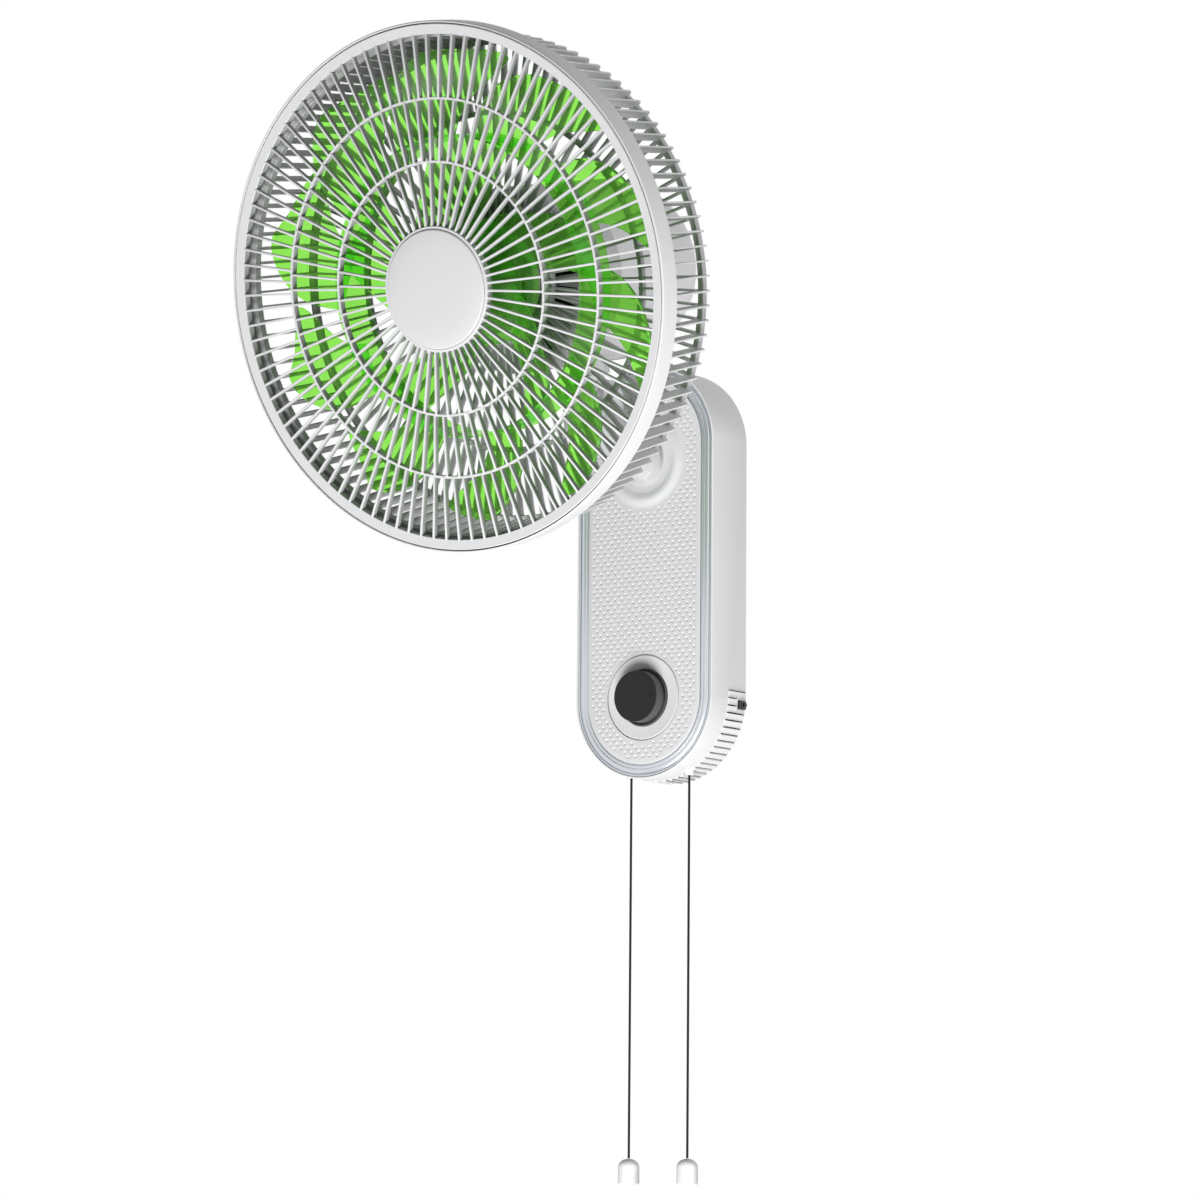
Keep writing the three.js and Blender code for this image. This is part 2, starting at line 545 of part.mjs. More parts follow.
// ---------- swing drive: crank on the swing motor, link towards the lever's pin ----------
function swingDrive() {
  const y = NECK.along + SWING.behind;
  const wheel = turnedZ(tube(3, SWING.crank, -50, -46), 20);
  const angle = rad(SWING.pinAngle);
  const crankPin = new THREE.Vector2(SWING.throw * Math.cos(angle), SWING.throw * Math.sin(angle));
  const pin = turnedZ(rod(2, LINK.bottom - 1, -49), 10).translate(crankPin.x, crankPin.y, 0);
  add('crank_disc', join(wheel, pin).translate(0, y, 0), steel, headFrame);
  const span = new THREE.Vector2(LEVER.reach - crankPin.x, -SWING.behind - crankPin.y);
  const length = span.length();
  const bar = new THREE.Shape().absarc(0, 0, LINK.end, HALF_TURN, 3 * HALF_TURN, false);
  bar.absarc(length, 0, LINK.end, -HALF_TURN, HALF_TURN, false);
  bar.closePath();
  bar.holes.push(circlePath(2 + GAP));
  const link = new THREE.ExtrudeGeometry(bar, { depth: LINK.thick, bevelEnabled: false, curveSegments: 8 });
  link.rotateZ(span.angle()).translate(crankPin.x, y + crankPin.y, LINK.bottom);
  add('link_rod', link, steel, headFrame);
}

// ---------- pull cords ----------
function pullCord(side, name) {
  const x = side * CORD.x;
  const ends = [CORD.top, CORD.bottom].map((z) => new THREE.Vector3(x, CORD.y, z));
  const path = new THREE.LineCurve3(...ends);
  const section = new THREE.Shape();
  for (let i = 0; i < CORD.sides; i++) {
    const a = (2 * Math.PI * i) / CORD.sides;
    const move = i === 0 ? 'moveTo' : 'lineTo';
    section[move](CORD.radius * Math.cos(a), CORD.radius * Math.sin(a));
  }
  section.closePath();
  const steps = 50;
  const cord = new THREE.ExtrudeGeometry(section, { extrudePath: path, steps, bevelEnabled: false });
  add(`pull_cord_${name}`, cord, cordBlack);
  const top = CORD.bottom - GAP;
  const { radius, length, dome } = PULL;
  const arc = Array.from({ length: 5 }, (_, i) => {
    const a = (HALF_TURN * i) / 4;
    return [radius * Math.cos(a), top - dome + dome * Math.sin(a)];
  });
  const bullet = turnedZ([
    [0, top - length], [radius - 0.8, top - length], [radius, top - length + 0.8],
    ...arc.slice(0, -1), [0, top],
  ], 16);
  add(`pull_knob_${name}`, bullet.translate(x, CORD.y, 0), whitePlastic);
}

wallPlate();
baseShell();
trimRing();
frontPanel();
dialAndKnob();
baseInternals();
baseArm();
tiltBolt();
neck();
headBearing();
motorCovers();
motorInside();
rotor();
impeller();
frontGrille();
rimBand();
rearGuard();
swingDrive();
pullCord(-1, 'left');
pullCord(1, 'right');

export default fan;
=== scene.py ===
"""Looks of a wall fan with two pull cords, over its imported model.

Lengths are in metres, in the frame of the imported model: +X to the right, +Y into the wall, +Z up.
Head pieces are modelled with Y running back along the fan's axis, and then seated on the tilted head.
"""

from __future__ import annotations

import json
import logging
import math
from collections.abc import Callable, Iterator, Sequence
from contextlib import contextmanager
from dataclasses import dataclass
from enum import Enum

import bmesh
import bpy
from mathutils import Matrix, Vector

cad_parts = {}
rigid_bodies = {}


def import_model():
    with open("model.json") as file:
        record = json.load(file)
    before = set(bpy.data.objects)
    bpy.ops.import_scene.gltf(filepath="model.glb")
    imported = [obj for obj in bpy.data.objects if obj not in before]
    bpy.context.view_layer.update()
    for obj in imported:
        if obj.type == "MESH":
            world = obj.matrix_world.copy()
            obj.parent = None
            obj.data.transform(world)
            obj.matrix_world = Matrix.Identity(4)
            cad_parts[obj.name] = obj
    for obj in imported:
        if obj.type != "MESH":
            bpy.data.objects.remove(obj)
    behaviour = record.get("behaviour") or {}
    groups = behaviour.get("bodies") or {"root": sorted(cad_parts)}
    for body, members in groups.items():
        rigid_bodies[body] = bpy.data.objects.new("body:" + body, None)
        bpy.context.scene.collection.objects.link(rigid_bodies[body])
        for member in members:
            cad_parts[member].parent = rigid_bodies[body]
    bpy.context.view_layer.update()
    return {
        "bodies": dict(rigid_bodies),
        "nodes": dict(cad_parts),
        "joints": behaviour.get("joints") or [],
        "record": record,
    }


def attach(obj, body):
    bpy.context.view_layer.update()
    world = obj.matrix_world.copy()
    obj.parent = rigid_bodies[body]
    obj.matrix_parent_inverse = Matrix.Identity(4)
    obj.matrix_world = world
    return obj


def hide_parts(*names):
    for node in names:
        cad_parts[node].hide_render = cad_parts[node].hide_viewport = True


log = logging.getLogger("wall_fan")

Point = tuple[float, float]
Place = tuple[float, float, float]
Test = Callable[[Vector, Vector], bool]
Piece = bpy.types.Object
Material = bpy.types.Material
TURN = 2 * math.pi
QUARTER = math.pi / 2
PANEL_BACK = -0.0523  # where the front panel's back lies
ARM_Z = 0.0965  # height of the arm's foot
DIAL_Z = -0.111  # height of the dial
GLAND_Z = -0.1174  # height of the gland
CORD_X, CORD_Y = 0.0306, -0.0272  # where the pull cords hang, to either side


class Axis(Enum):
    """The axes that a profile is spun round."""

    Y = (0.0, 1.0, 0.0)
    Z = (0.0, 0.0, 1.0)


class Slot(Enum):
    """The record's material slots."""

    WHITE = "white_plastic"
    PANEL = "panel_plastic"
    SILVER = "silver_trim"
    BLACK = "black_plastic"
    GREEN = "green_plastic"
    GREY = "grey_plastic"
    STEEL = "steel"
    SHEETS = "laminations"
    COPPER = "copper"
    CORD = "cord_black"


# ---- shaders


class Signal:
    """A shader value that can be added, multiplied and so on."""

    def __init__(self, graph: Graph, socket: bpy.types.NodeSocket) -> None:
        """Wrap an output socket of a graph."""
        self.graph = graph
        self.socket = socket

    def __add__(self, other: Signal | float) -> Signal:
        """Sum."""
        return self.graph.maths("ADD", self, other)

    def __sub__(self, other: Signal | float) -> Signal:
        """Difference."""
        return self.graph.maths("SUBTRACT", self, other)

    def __rsub__(self, other: float) -> Signal:
        """Difference from a number."""
        return self.graph.maths("SUBTRACT", other, self)

    def __mul__(self, other: Signal | float) -> Signal:
        """Product."""
        return self.graph.maths("MULTIPLY", self, other)

    __rmul__ = __mul__


PATCHES = 18.0  # noise scale of uneven shine
GRAIN = 900.0  # noise scale of moulded grain


class Graph:
    """The node graph of one material."""

    def __init__(self, name: str) -> None:
        """Start a material that holds only its output and a Principled shader.

        Args:
            name: The material's name.
        """
        self.material = bpy.data.materials.new(name)
        self.material.use_nodes = True
        self.tree = self.material.node_tree
        self.shader = next(n for n in self.tree.nodes if n.type == "BSDF_PRINCIPLED")

    def node(self, kind: str, settings: dict, inputs: dict, output: str | int = 0) -> Signal:
        """Add a node.

        Args:
            kind: The node's type name.
            settings: Its settings, set before its sockets.
            inputs: A value or a signal for each socket, by name or number.
            output: The socket to return.

        Returns:
            The node's output as a signal.
        """
        made = self.tree.nodes.new(kind)
        for key, value in settings.items():
            setattr(made, key, value)
        for key, value in inputs.items():
            if isinstance(value, Signal):
                self.tree.links.new(value.socket, made.inputs[key])
            else:
                made.inputs[key].default_value = value
        return Signal(self, made.outputs[output])

    def coordinates(self) -> Signal:
        """Object coordinates."""
        return self.node("ShaderNodeTexCoord", {}, {}, "Object")

    def split(self, vector: Signal) -> tuple[Signal, Signal, Signal]:
        """The three parts of a vector."""
        parts = self.node("ShaderNodeSeparateXYZ", {}, {"Vector": vector}).socket.node.outputs
        return Signal(self, parts[0]), Signal(self, parts[1]), Signal(self, parts[2])

    def maths(self, operation: str, *values: Signal | float) -> Signal:
        """A Math node."""
        return self.node("ShaderNodeMath", {"operation": operation}, dict(enumerate(values)))

    def noise(self, scale: float, detail: float = 3.0) -> Signal:
        """Noise on object coordinates, from 0 to 1."""
        inputs = {"Vector": self.coordinates(), "Scale": scale, "Detail": detail}
        return self.node("ShaderNodeTexNoise", {}, inputs, "Fac")

    def blend(self, amount: Signal, low: Place, high: Place) -> Signal:
        """Mix two colours by an amount from 0 to 1."""
        inputs = {0: amount, 6: (*low, 1.0), 7: (*high, 1.0)}
        return self.node("ShaderNodeMix", {"data_type": "RGBA"}, inputs, 2)

    def bump(self, height: Signal, distance: float, strength: float = 1.0) -> None:
        """Feed a height into the shader's normal through a Bump node."""
        inputs = {"Height": height, "Distance": distance, "Strength": strength}
        self.feed("Normal", self.node("ShaderNodeBump", {}, inputs))

    def moulded(self, colour: Signal, roughness: float, specular: float = 0.5, depth: float = 0.00002) -> None:
        """Feed a moulded plastic's colour, and the faintly uneven shine and the fine grain that it has.

        Args:
            colour: The base colour.
            roughness: The middle of the roughness.
            specular: The level of reflection, 0.5 for common plastic.
            depth: Depth of the grain.
        """
        self.feed("Base Color", colour)
        self.feed("Roughness", self.noise(PATCHES) * 0.06 + (roughness - 0.03))
        self.feed("Specular IOR Level", specular)
        self.bump(self.noise(GRAIN, 2.0), depth, 0.5)

    def feed(self, socket: str, value: Signal | float | tuple) -> None:
        """Set or link a socket of the Principled shader.

        Args:
            socket: The socket's name.
            value: A value or a signal.
        """
        if isinstance(value, Signal):
            self.tree.links.new(value.socket, self.shader.inputs[socket])
        else:
            self.shader.inputs[socket].default_value = value


def darker(colour: Place, share: float) -> Place:
    """A share of a colour."""
    return tuple(channel * share for channel in colour)


@dataclass(frozen=True)
class Finish:
    """What every finish has: a name, a main colour and a roughness."""

    name: str
    colour: Place
    roughness: float

    def material(self) -> Material:
        """Build the material.

        Returns:
            The material.
        """
        graph = Graph(self.name)
        self.paint(graph)
        return graph.material

    def paint(self, graph: Graph) -> None:
        """Fill the graph; each kind of finish does it in its own way."""
        raise NotImplementedError


@dataclass(frozen=True)
class MouldedPlastic(Finish):
    """Opaque moulded plastic whose tone varies faintly."""

    depth: float = 0.00002
    specular: float = 0.5

    def paint(self, graph: Graph) -> None:
        """Fill the graph."""
        colour = graph.blend(graph.noise(PATCHES), darker(self.colour, 0.97), self.colour)
        graph.moulded(colour, self.roughness, self.specular, self.depth)


@dataclass(frozen=True)
class PaintedShadingPlastic(Finish):
    """Moulded plastic with its main colour where a round piece faces out, and painted shading on its sides and inside:
    darker as painted shade, lighter on the knob as a painted sheen.
    """

    # Painted shading: the colour of the sides and inside, darker as painted shade, lighter on the knob as a painted
    # sheen.
    painted_flank_shading: Place
    faces_out: Callable[[Graph, Signal, Signal], Signal]
    seat: HeadSeat
    specular: float = 0.5

    def paint(self, graph: Graph) -> None:
        """Fill the graph, with the piece's axis through the middle of its seat."""
        settings = {"vector_type": "TEXTURE"}
        inputs = {"Vector": graph.coordinates(), "Location": self.seat.centre, "Rotation": (self.seat.tilt, 0, 0)}
        x, y, z = graph.split(graph.node("ShaderNodeMapping", settings, inputs))
        radius = graph.maths("SQRT", x * x + z * z)
        # Painted shading: the main colour where the piece faces out, and the second colour elsewhere, which is painted
        # shade on the guard, grille and rim and a painted sheen on the knob's side.
        colour = graph.blend(self.faces_out(graph, radius, y), self.painted_flank_shading, self.colour)
        graph.moulded(colour, self.roughness, self.specular)


# Each mask below is 1 where a piece faces out, from the distance to its axis and the place along it; where it is 0 the
# piece gets its painted shading.


def guard_edges(graph: Graph, radius: Signal, y: Signal) -> Signal:
    """Where the rear guard's vanes face out: their outer edges, which lean in, and their back edges."""
    outer = graph.maths("GREATER_THAN", radius, 0.2143 - 0.1031 * (y - 0.0170))
    return graph.maths("MAXIMUM", outer, graph.maths("GREATER_THAN", y, 0.0888))


def grille_front(graph: Graph, radius: Signal, y: Signal) -> Signal:
    """The first part of a millimetre behind the domed front of the grille."""
    dome = 0.0584 * (radius - 0.0521) - 0.0918 * (radius - 0.0521) * (radius - 0.1566) - 0.0061
    return graph.maths("GREATER_THAN", dome, y)


def knob_face(graph: Graph, _radius: Signal, y: Signal) -> Signal:
    """The face of the knob."""
    return graph.maths("LESS_THAN", y, -0.0660)


def rim_outside(graph: Graph, radius: Signal, y: Signal) -> Signal:
    """The outside of the rim band."""
    return graph.maths("MAXIMUM", graph.maths("GREATER_THAN", radius, 0.2172), graph.maths("LESS_THAN", y, 0.0012))


@dataclass(frozen=True)
class ClearPlastic(Finish):
    """Tinted clear plastic that shows what lies behind it."""

    deeper: Place
    refraction: float
    clear: float

    def paint(self, graph: Graph) -> None:
        """Fill the graph."""
        flow = graph.noise(9.0, 1.0)
        graph.feed("Base Color", graph.blend(flow, self.deeper, self.colour))
        graph.feed("Roughness", flow * 0.03 + self.roughness)
        graph.feed("Transmission Weight", self.clear)
        graph.feed("IOR", self.refraction)
        graph.feed("Coat Weight", 0.9)
        graph.feed("Coat Roughness", 0.5)


@dataclass(frozen=True)
class Metal(Finish):
    """Plain metal with short scratches along one direction."""

    stretch: Place = (60.0, 60.0, 900.0)

    def paint(self, graph: Graph) -> None:
        """Fill the graph."""
        mapping = graph.node("ShaderNodeMapping", {}, {"Vector": graph.coordinates(), "Scale": self.stretch})
        scratches = graph.node("ShaderNodeTexNoise", {}, {"Vector": mapping, "Scale": 6.0, "Detail": 4.0}, "Fac")
        graph.feed("Base Color", graph.blend(scratches, darker(self.colour, 0.8), self.colour))
        graph.feed("Roughness", scratches * 0.15 + self.roughness)
        graph.feed("Metallic", 1.0)
        graph.bump(scratches, 0.00002, 0.4)


@dataclass(frozen=True)
class SilverFinish(Finish):
    """Silver lacquer on plastic, with a fine sparkle."""

    metal: float

    def paint(self, graph: Graph) -> None:
        """Fill the graph."""
        sparkle = graph.noise(1600.0, 1.0)
        graph.feed("Base Color", graph.blend(sparkle, darker(self.colour, 0.92), self.colour))
        graph.feed("Roughness", sparkle * 0.05 + self.roughness)
        graph.feed("Metallic", self.metal)


@dataclass(frozen=True)
class Striped(Finish):
    """A metal with fine stripes across the fan's depth: stacked sheets or turns of wire."""

    groove: Place
    pitch: float

    def paint(self, graph: Graph) -> None:
        """Fill the graph."""
        settings = {"wave_type": "BANDS", "bands_direction": "Y", "wave_profile": "SIN"}
        inputs = {"Vector": graph.coordinates(), "Scale": TURN / 20 / self.pitch, "Distortion": 0.3}
        stripes = graph.node("ShaderNodeTexWave", settings, inputs, "Fac")
        graph.feed("Base Color", graph.blend(stripes, self.groove, self.colour))
        graph.feed("Roughness", 0.2 * (1 - stripes) + self.roughness)
        graph.feed("Metallic", 1.0)
        graph.bump(stripes, self.pitch * 0.3)


@dataclass(frozen=True)
class BraidedCord(Finish):
    """Black braided cord: two sets of strands that cross, wound round each cord's own middle line."""

    highlight: Place
    strands: float = 4.0
    lay: float = 0.0021

    def paint(self, graph: Graph) -> None:
        """Fill the graph."""
        x, y, z = graph.split(graph.coordinates())
        east = graph.maths("ABSOLUTE", x) - CORD_X
        around = graph.maths("ARCTAN2", y - CORD_Y, east) * self.strands
        along = z * (TURN / self.lay)
        weave = graph.maths("SINE", along + around) * graph.maths("SINE", along - around) * 0.5 + 0.5
        graph.feed("Base Color", graph.blend(weave, self.colour, self.highlight))
        graph.feed("Roughness", self.roughness)
        graph.feed("Specular IOR Level", 0.25)
        graph.bump(weave, 0.00006)


class Palette:
    """Every finish of the fan, made once."""

    FINISHES = {
        Slot.WHITE: MouldedPlastic("White_plastic", (0.82, 0.82, 0.83), 0.38),
        Slot.PANEL: MouldedPlastic("Panel_plastic", (0.76, 0.76, 0.77), 0.6),
        Slot.SILVER: SilverFinish("Silver_lacquer", (0.66, 0.69, 0.73), 0.27, 0.75),
        Slot.BLACK: MouldedPlastic("Black_plastic", (0.012, 0.012, 0.0125), 0.36, depth=0.00003, specular=0.45),
        Slot.GREEN: ClearPlastic("Clear_green", (0.35, 1.0, 0.12), 0.03, (0.33, 0.98, 0.11), 1.02, 0.88),
        Slot.GREY: MouldedPlastic("Grey_plastic", (0.58, 0.58, 0.59), 0.5),
        Slot.STEEL: Metal("Plain_steel", (0.60, 0.61, 0.62), 0.28),
        Slot.SHEETS: Striped("Motor_sheets", (0.42, 0.43, 0.45), 0.35, (0.12, 0.12, 0.13), 0.0006),
        Slot.COPPER: Striped("Copper_wire", (0.72, 0.32, 0.13), 0.3, (0.30, 0.10, 0.04), 0.0011),
        Slot.CORD: BraidedCord("Braided_cord", (0.006, 0.006, 0.0065), 0.8, (0.016, 0.016, 0.017)),
    }

    def __init__(self, seat: HeadSeat) -> None:
        """Make the material of each finish.

        Args:
            seat: The seat of the head that the ones with painted shading are for.
        """
        self._made = {slot: finish.material() for slot, finish in self.FINISHES.items()}
        bright, white, black = (0.82, 0.82, 0.83), (0.80, 0.80, 0.81), (0.010, 0.010, 0.0105)
        dial = HeadSeat(Vector((0, 0, DIAL_Z)), 0.0)
        self.guard, self.grille, self.rim, self.knob = (
            finish.material()
            for finish in (
                # Rear guard: white on the outer and back edges of its vanes, painted shade in grey on their sides and
                # inside.
                PaintedShadingPlastic("Guard_plastic_painted_shade", white, 0.45, (0.54, 0.54, 0.545), guard_edges, seat),
                # Front grille: white on the first part of a millimetre behind its domed front, painted shade in grey
                # on the vanes' sides behind it.
                PaintedShadingPlastic("Grille_plastic_painted_shade", bright, 0.38, (0.56, 0.56, 0.565), grille_front, seat),
                # Rim band: white outside and on its front, painted shade in grey on its inside.
                PaintedShadingPlastic("Rim_plastic_painted_shade", bright, 0.38, (0.52, 0.52, 0.525), rim_outside, seat),
                # Knob: near-black face, and a lighter grey side as a painted sheen where the side catches light.
                PaintedShadingPlastic("Knob_plastic_painted_sheen", black, 0.42, (0.085, 0.085, 0.087), knob_face, dial, 0.28),
            )
        )

    def dress(self, piece: Piece, slot: Slot, finish: Material | None = None) -> None:
        """Give a piece one finish: its slot's own, or another one."""
        piece.data.materials.clear()
        piece.data.materials.append(finish or self._made[slot])


# ---- modelling bench


class Bench:
    """Blender's own modelling operators, each on a known selection."""

    @staticmethod
    def take(*pieces: Piece) -> None:
        """Select only these pieces, the first one active.

        Args:
            *pieces: The pieces; none clears the selection.
        """
        for other in list(bpy.context.selected_objects):
            other.select_set(False)
        for piece in pieces:
            piece.select_set(True)
        bpy.context.view_layer.objects.active = pieces[0] if pieces else None

    @staticmethod
    @contextmanager
    def editing(piece: Piece, mode: str = "VERT", whole: bool = False) -> Iterator[None]:
        """Open a piece in edit mode, and close it again.

        Args:
            piece: The piece.
            mode: What is selected: "VERT" or "FACE".
            whole: Start with everything selected instead of nothing.

        Yields:
            Nothing, while the piece is open.
        """
        Bench.take(piece)
        bpy.ops.object.mode_set(mode="EDIT")
        bpy.ops.mesh.select_mode(type=mode)
        bpy.ops.mesh.select_all(action="SELECT" if whole else "DESELECT")
        yield
        bpy.ops.object.mode_set(mode="OBJECT")

    @staticmethod
    def pick(piece: Piece, test: Test, faces: bool = False) -> None:
        """Select the points or faces that pass a test, in edit mode.

        Args:
            piece: The piece that is open.
            test: Gets the middle and the normal of each item.
            faces: Test faces instead of points.
        """
        mesh = bmesh.from_edit_mesh(piece.data)
        for item in mesh.faces if faces else mesh.verts:
            middle = item.calc_center_median() if faces else item.co
            item.select_set(test(middle, item.normal))
        mesh.select_flush_mode()
        bmesh.update_edit_mesh(piece.data)

    @staticmethod
    def move(value: Place) -> None:
        """Move the selection in edit mode."""
        bpy.ops.transform.translate(value=value)

    @staticmethod
    def extrude(value: Place) -> None:
        """Extrude the selection in edit mode and move it."""
        bpy.ops.mesh.extrude_region_move(TRANSFORM_OT_translate={"value": value})

    @staticmethod
    def named(name: str) -> Piece:
        """Name the new primitive and put its place into its mesh.

        Args:
            name: The piece's name.

        Returns:
            The piece.
        """
        piece = bpy.context.object
        piece.name = name
        Bench.settle(piece)
        return piece

    @staticmethod
    def settle(piece: Piece) -> None:
        """Put a piece's place, turn and scale into its mesh."""
        Bench.take(piece)
        bpy.ops.object.transform_apply(location=True, rotation=True, scale=True)

    @staticmethod
    def box(name: str, size: Place, middle: Place) -> Piece:
        """A box of a size about a middle point.

        Args:
            name: The piece's name.
            size: Its three edges.
            middle: Its middle.

        Returns:
            The box.
        """
        Bench.take()
        bpy.ops.mesh.primitive_cube_add(size=1, location=middle, scale=size)
        return Bench.named(name)

    @staticmethod
    def rod(name: str, radius: float, start: Place, end: Place, sides: int = 32) -> Piece:
        """A round rod between two points.

        Args:
            name: The piece's name.
            radius: Its radius.
            start: The middle of one end.
            end: The middle of the other.
            sides: Faces round it.

        Returns:
            The rod.
        """
        line = Vector(end) - Vector(start)
        Bench.take()
        bpy.ops.mesh.primitive_cylinder_add(
            vertices=sides,
            radius=radius,
            depth=line.length,
            location=(Vector(start) + Vector(end)) / 2,
            rotation=line.to_track_quat("Z", "Y").to_euler(),
        )
        return Bench.named(name)

    @staticmethod
    def tidy(piece: Piece, gap: float = 0.000005) -> None:
        """Merge doubles and turn the faces outwards.

        Args:
            piece: The piece.
            gap: Points nearer than this are merged.
        """
        with Bench.editing(piece, whole=True):
            bpy.ops.mesh.remove_doubles(threshold=gap)
            bpy.ops.mesh.normals_make_consistent(inside=False)

    @staticmethod
    def turned(
        name: str, profile: Sequence[Point], steps: int = 96, axis: Axis = Axis.Y, closed: bool = False
    ) -> Piece:
        """Spin a profile round an axis.

        Args:
            name: The piece's name.
            profile: Points as (radius, distance along the axis).
            steps: Faces round the piece.
            axis: The axis it is spun round.
            closed: Join the last point to the first.

        Returns:
            The new piece.
        """
        along_z = axis is Axis.Z
        places = [Vector((r, 0, along) if along_z else (r, along, 0)) for r, along in profile]
        piece = Bench.drawn(name, places)
        with Bench.editing(piece):
            if closed:
                ends = (places[0], places[-1])
                Bench.pick(piece, lambda p, _: min((p - e).length for e in ends) < 1e-7)
                bpy.ops.mesh.edge_face_add()
            bpy.ops.mesh.select_all(action="SELECT")
            bpy.ops.mesh.spin(steps=steps, angle=TURN, center=(0, 0, 0), axis=axis.value)
        Bench.tidy(piece)
        return piece

    @staticmethod
    def hoop(inner: float, outer: float, front: float, back: float, soft: float = 0.0005, steps: int = 160) -> Piece:
        """A flat hoop with softened edges.

        Args:
            inner: Its inner radius.
            outer: Its outer radius.
            front: Where it begins along the axis.
            back: Where it ends.
            soft: How much is taken off each edge.
            steps: Faces round it.

        Returns:
            The hoop.
        """
        profile = [
            (inner, front + soft), (inner + soft, front), (outer - soft, front), (outer, front + soft),
            (outer, back - soft), (outer - soft, back), (inner + soft, back), (inner, back - soft),
        ]
        return Bench.turned("Hoop", profile, steps, closed=True)

    @staticmethod
    def copies_round(piece: Piece, count: int) -> None:
        """Copy a whole piece round the Y axis until there are `count` of it.

        Args:
            piece: The piece, which holds all its copies afterwards.
            count: How many there are to be.
        """
        angle = TURN * (count - 1) / count
        with Bench.editing(piece, whole=True):
            bpy.ops.mesh.spin(steps=count - 1, dupli=True, angle=angle, center=(0, 0, 0), axis=Axis.Y.value)

    @staticmethod
    def drawn(name: str, places: Sequence[Vector]) -> Piece:
        """A line drawn from point to point.

        Args:
            name: The piece's name.
            places: The points.

        Returns:
            The line as a piece without faces.
        """
        Bench.take()
        bpy.ops.mesh.primitive_plane_add(size=0.01)
        piece = Bench.named(name)
        with Bench.editing(piece, whole=True):
            bpy.ops.mesh.merge(type="CENTER")
            Bench.move(places[0])
            for before, after in zip(places, places[1:]):
                Bench.extrude(after - before)
        return piece

    @staticmethod
    def slab(name: str, places: Sequence[Vector], push: Place) -> Piece:
        """A flat outline, extruded.

        Args:
            name: The piece's name.
            places: The corners of the outline.
            push: How far and which way it is extruded.

        Returns:
            The slab.
        """
        piece = Bench.drawn(name, places)
        with Bench.editing(piece, whole=True):
            bpy.ops.mesh.edge_face_add()
        with Bench.editing(piece, "FACE", whole=True):
            Bench.extrude(push)
        Bench.tidy(piece)
        return piece

    @staticmethod
    def fin(name: str, outline: Sequence[Point], thick: float) -> Piece:
        """A flat fin that stands radially to the right; its outline is in radius and Y."""
        return Bench.slab(name, [Vector((radius, y, -thick / 2)) for radius, y in outline], (0, 0, thick))

    @staticmethod
    def mirror_x(piece: Piece) -> None:
        """Mirror a piece to the other side of the fan, faces still outwards.

        Args:
            piece: The piece.
        """
        piece.scale = (-1, 1, 1)
        Bench.settle(piece)
        Bench.tidy(piece)

    @staticmethod
    def stadium(name: str, radius: float, straight: float, y: float, points: int = 98) -> Piece:
        """A flat upright face with straight sides and round ends.

        Args:
            name: The piece's name.
            radius: Radius of the round ends.
            straight: Half the length of the straight sides.
            y: Where the face stands.
            points: Points of both ends together.

        Returns:
            The face as a piece.
        """
        Bench.take()
        bpy.ops.mesh.primitive_circle_add(
            vertices=points, radius=radius, fill_type="NGON", location=(0, y, 0), rotation=(QUARTER, 0, 0)
        )
        piece = Bench.named(name)
        for side in (1, -1):
            with Bench.editing(piece):
                Bench.pick(piece, lambda p, _: p.z * side > 0)
                Bench.move((0, 0, side * straight))
        return piece

    @staticmethod
    def change(piece: Piece, kind: str, **settings: object) -> None:
        """Add a modifier with its settings and apply it.

        Args:
            piece: The piece.
            kind: The modifier's type name.
            **settings: Its settings.
        """
        modifier = piece.modifiers.new(kind.title(), kind)
        for key, value in settings.items():
            setattr(modifier, key, value)
        Bench.take(piece)
        bpy.ops.object.modifier_apply(modifier=modifier.name)

    @staticmethod
    def round_edges(piece: Piece, width: float, segments: int = 2, angle: float = 35.0) -> None:
        """Round the edges that are sharper than an angle in degrees."""
        Bench.change(
            piece, "BEVEL", width=width, segments=segments, limit_method="ANGLE", angle_limit=math.radians(angle)
        )

    @staticmethod
    def cut(piece: Piece, *tools: Piece, solver: str = "EXACT") -> None:
        """Cut tools out of a piece and throw them away.

        Args:
            piece: The piece.
            *tools: What is cut out of it.
            solver: The solver of the Boolean modifier.
        """
        for tool in tools:
            Bench.change(piece, "BOOLEAN", operation="DIFFERENCE", solver=solver, object=tool)
            bpy.data.objects.remove(tool)

    @staticmethod
    def knurl(piece: Piece, count: int, radius: float, start: Place, end: Place) -> None:
        """Cut equal round grooves into a turned piece.

        Args:
            piece: The piece.
            count: How many grooves.
            radius: Their radius.
            start: Where the first one begins.
            end: Where it ends.
        """
        groove = Bench.rod("Groove", radius, start, end, 10)
        Bench.copies_round(groove, count)
        Bench.cut(piece, groove)

    @staticmethod
    def join(name: str, *pieces: Piece) -> Piece:
        """Join pieces into one, which keeps each piece's own shape.

        Args:
            name: The name of the whole.
            *pieces: The pieces.

        Returns:
            The whole.
        """
        Bench.take(*pieces)
        bpy.ops.object.join()
        joined = bpy.context.object
        joined.name = name
        return joined

    @staticmethod
    def place(piece: Piece, turn: Place = (0, 0, 0), move: Place = (0, 0, 0)) -> None:
        """Turn a piece about the origin and move it, and put both into its mesh.

        Args:
            piece: The piece.
            turn: Turns round X, Y and Z.
            move: How far it is moved.
        """
        piece.rotation_euler = turn
        piece.location = move
        Bench.settle(piece)

    @staticmethod
    def smooth(piece: Piece, angle: float = 32.0) -> None:
        """Shade smooth across edges softer than an angle in degrees."""
        Bench.take(piece)
        bpy.ops.object.shade_smooth_by_angle(angle=math.radians(angle))


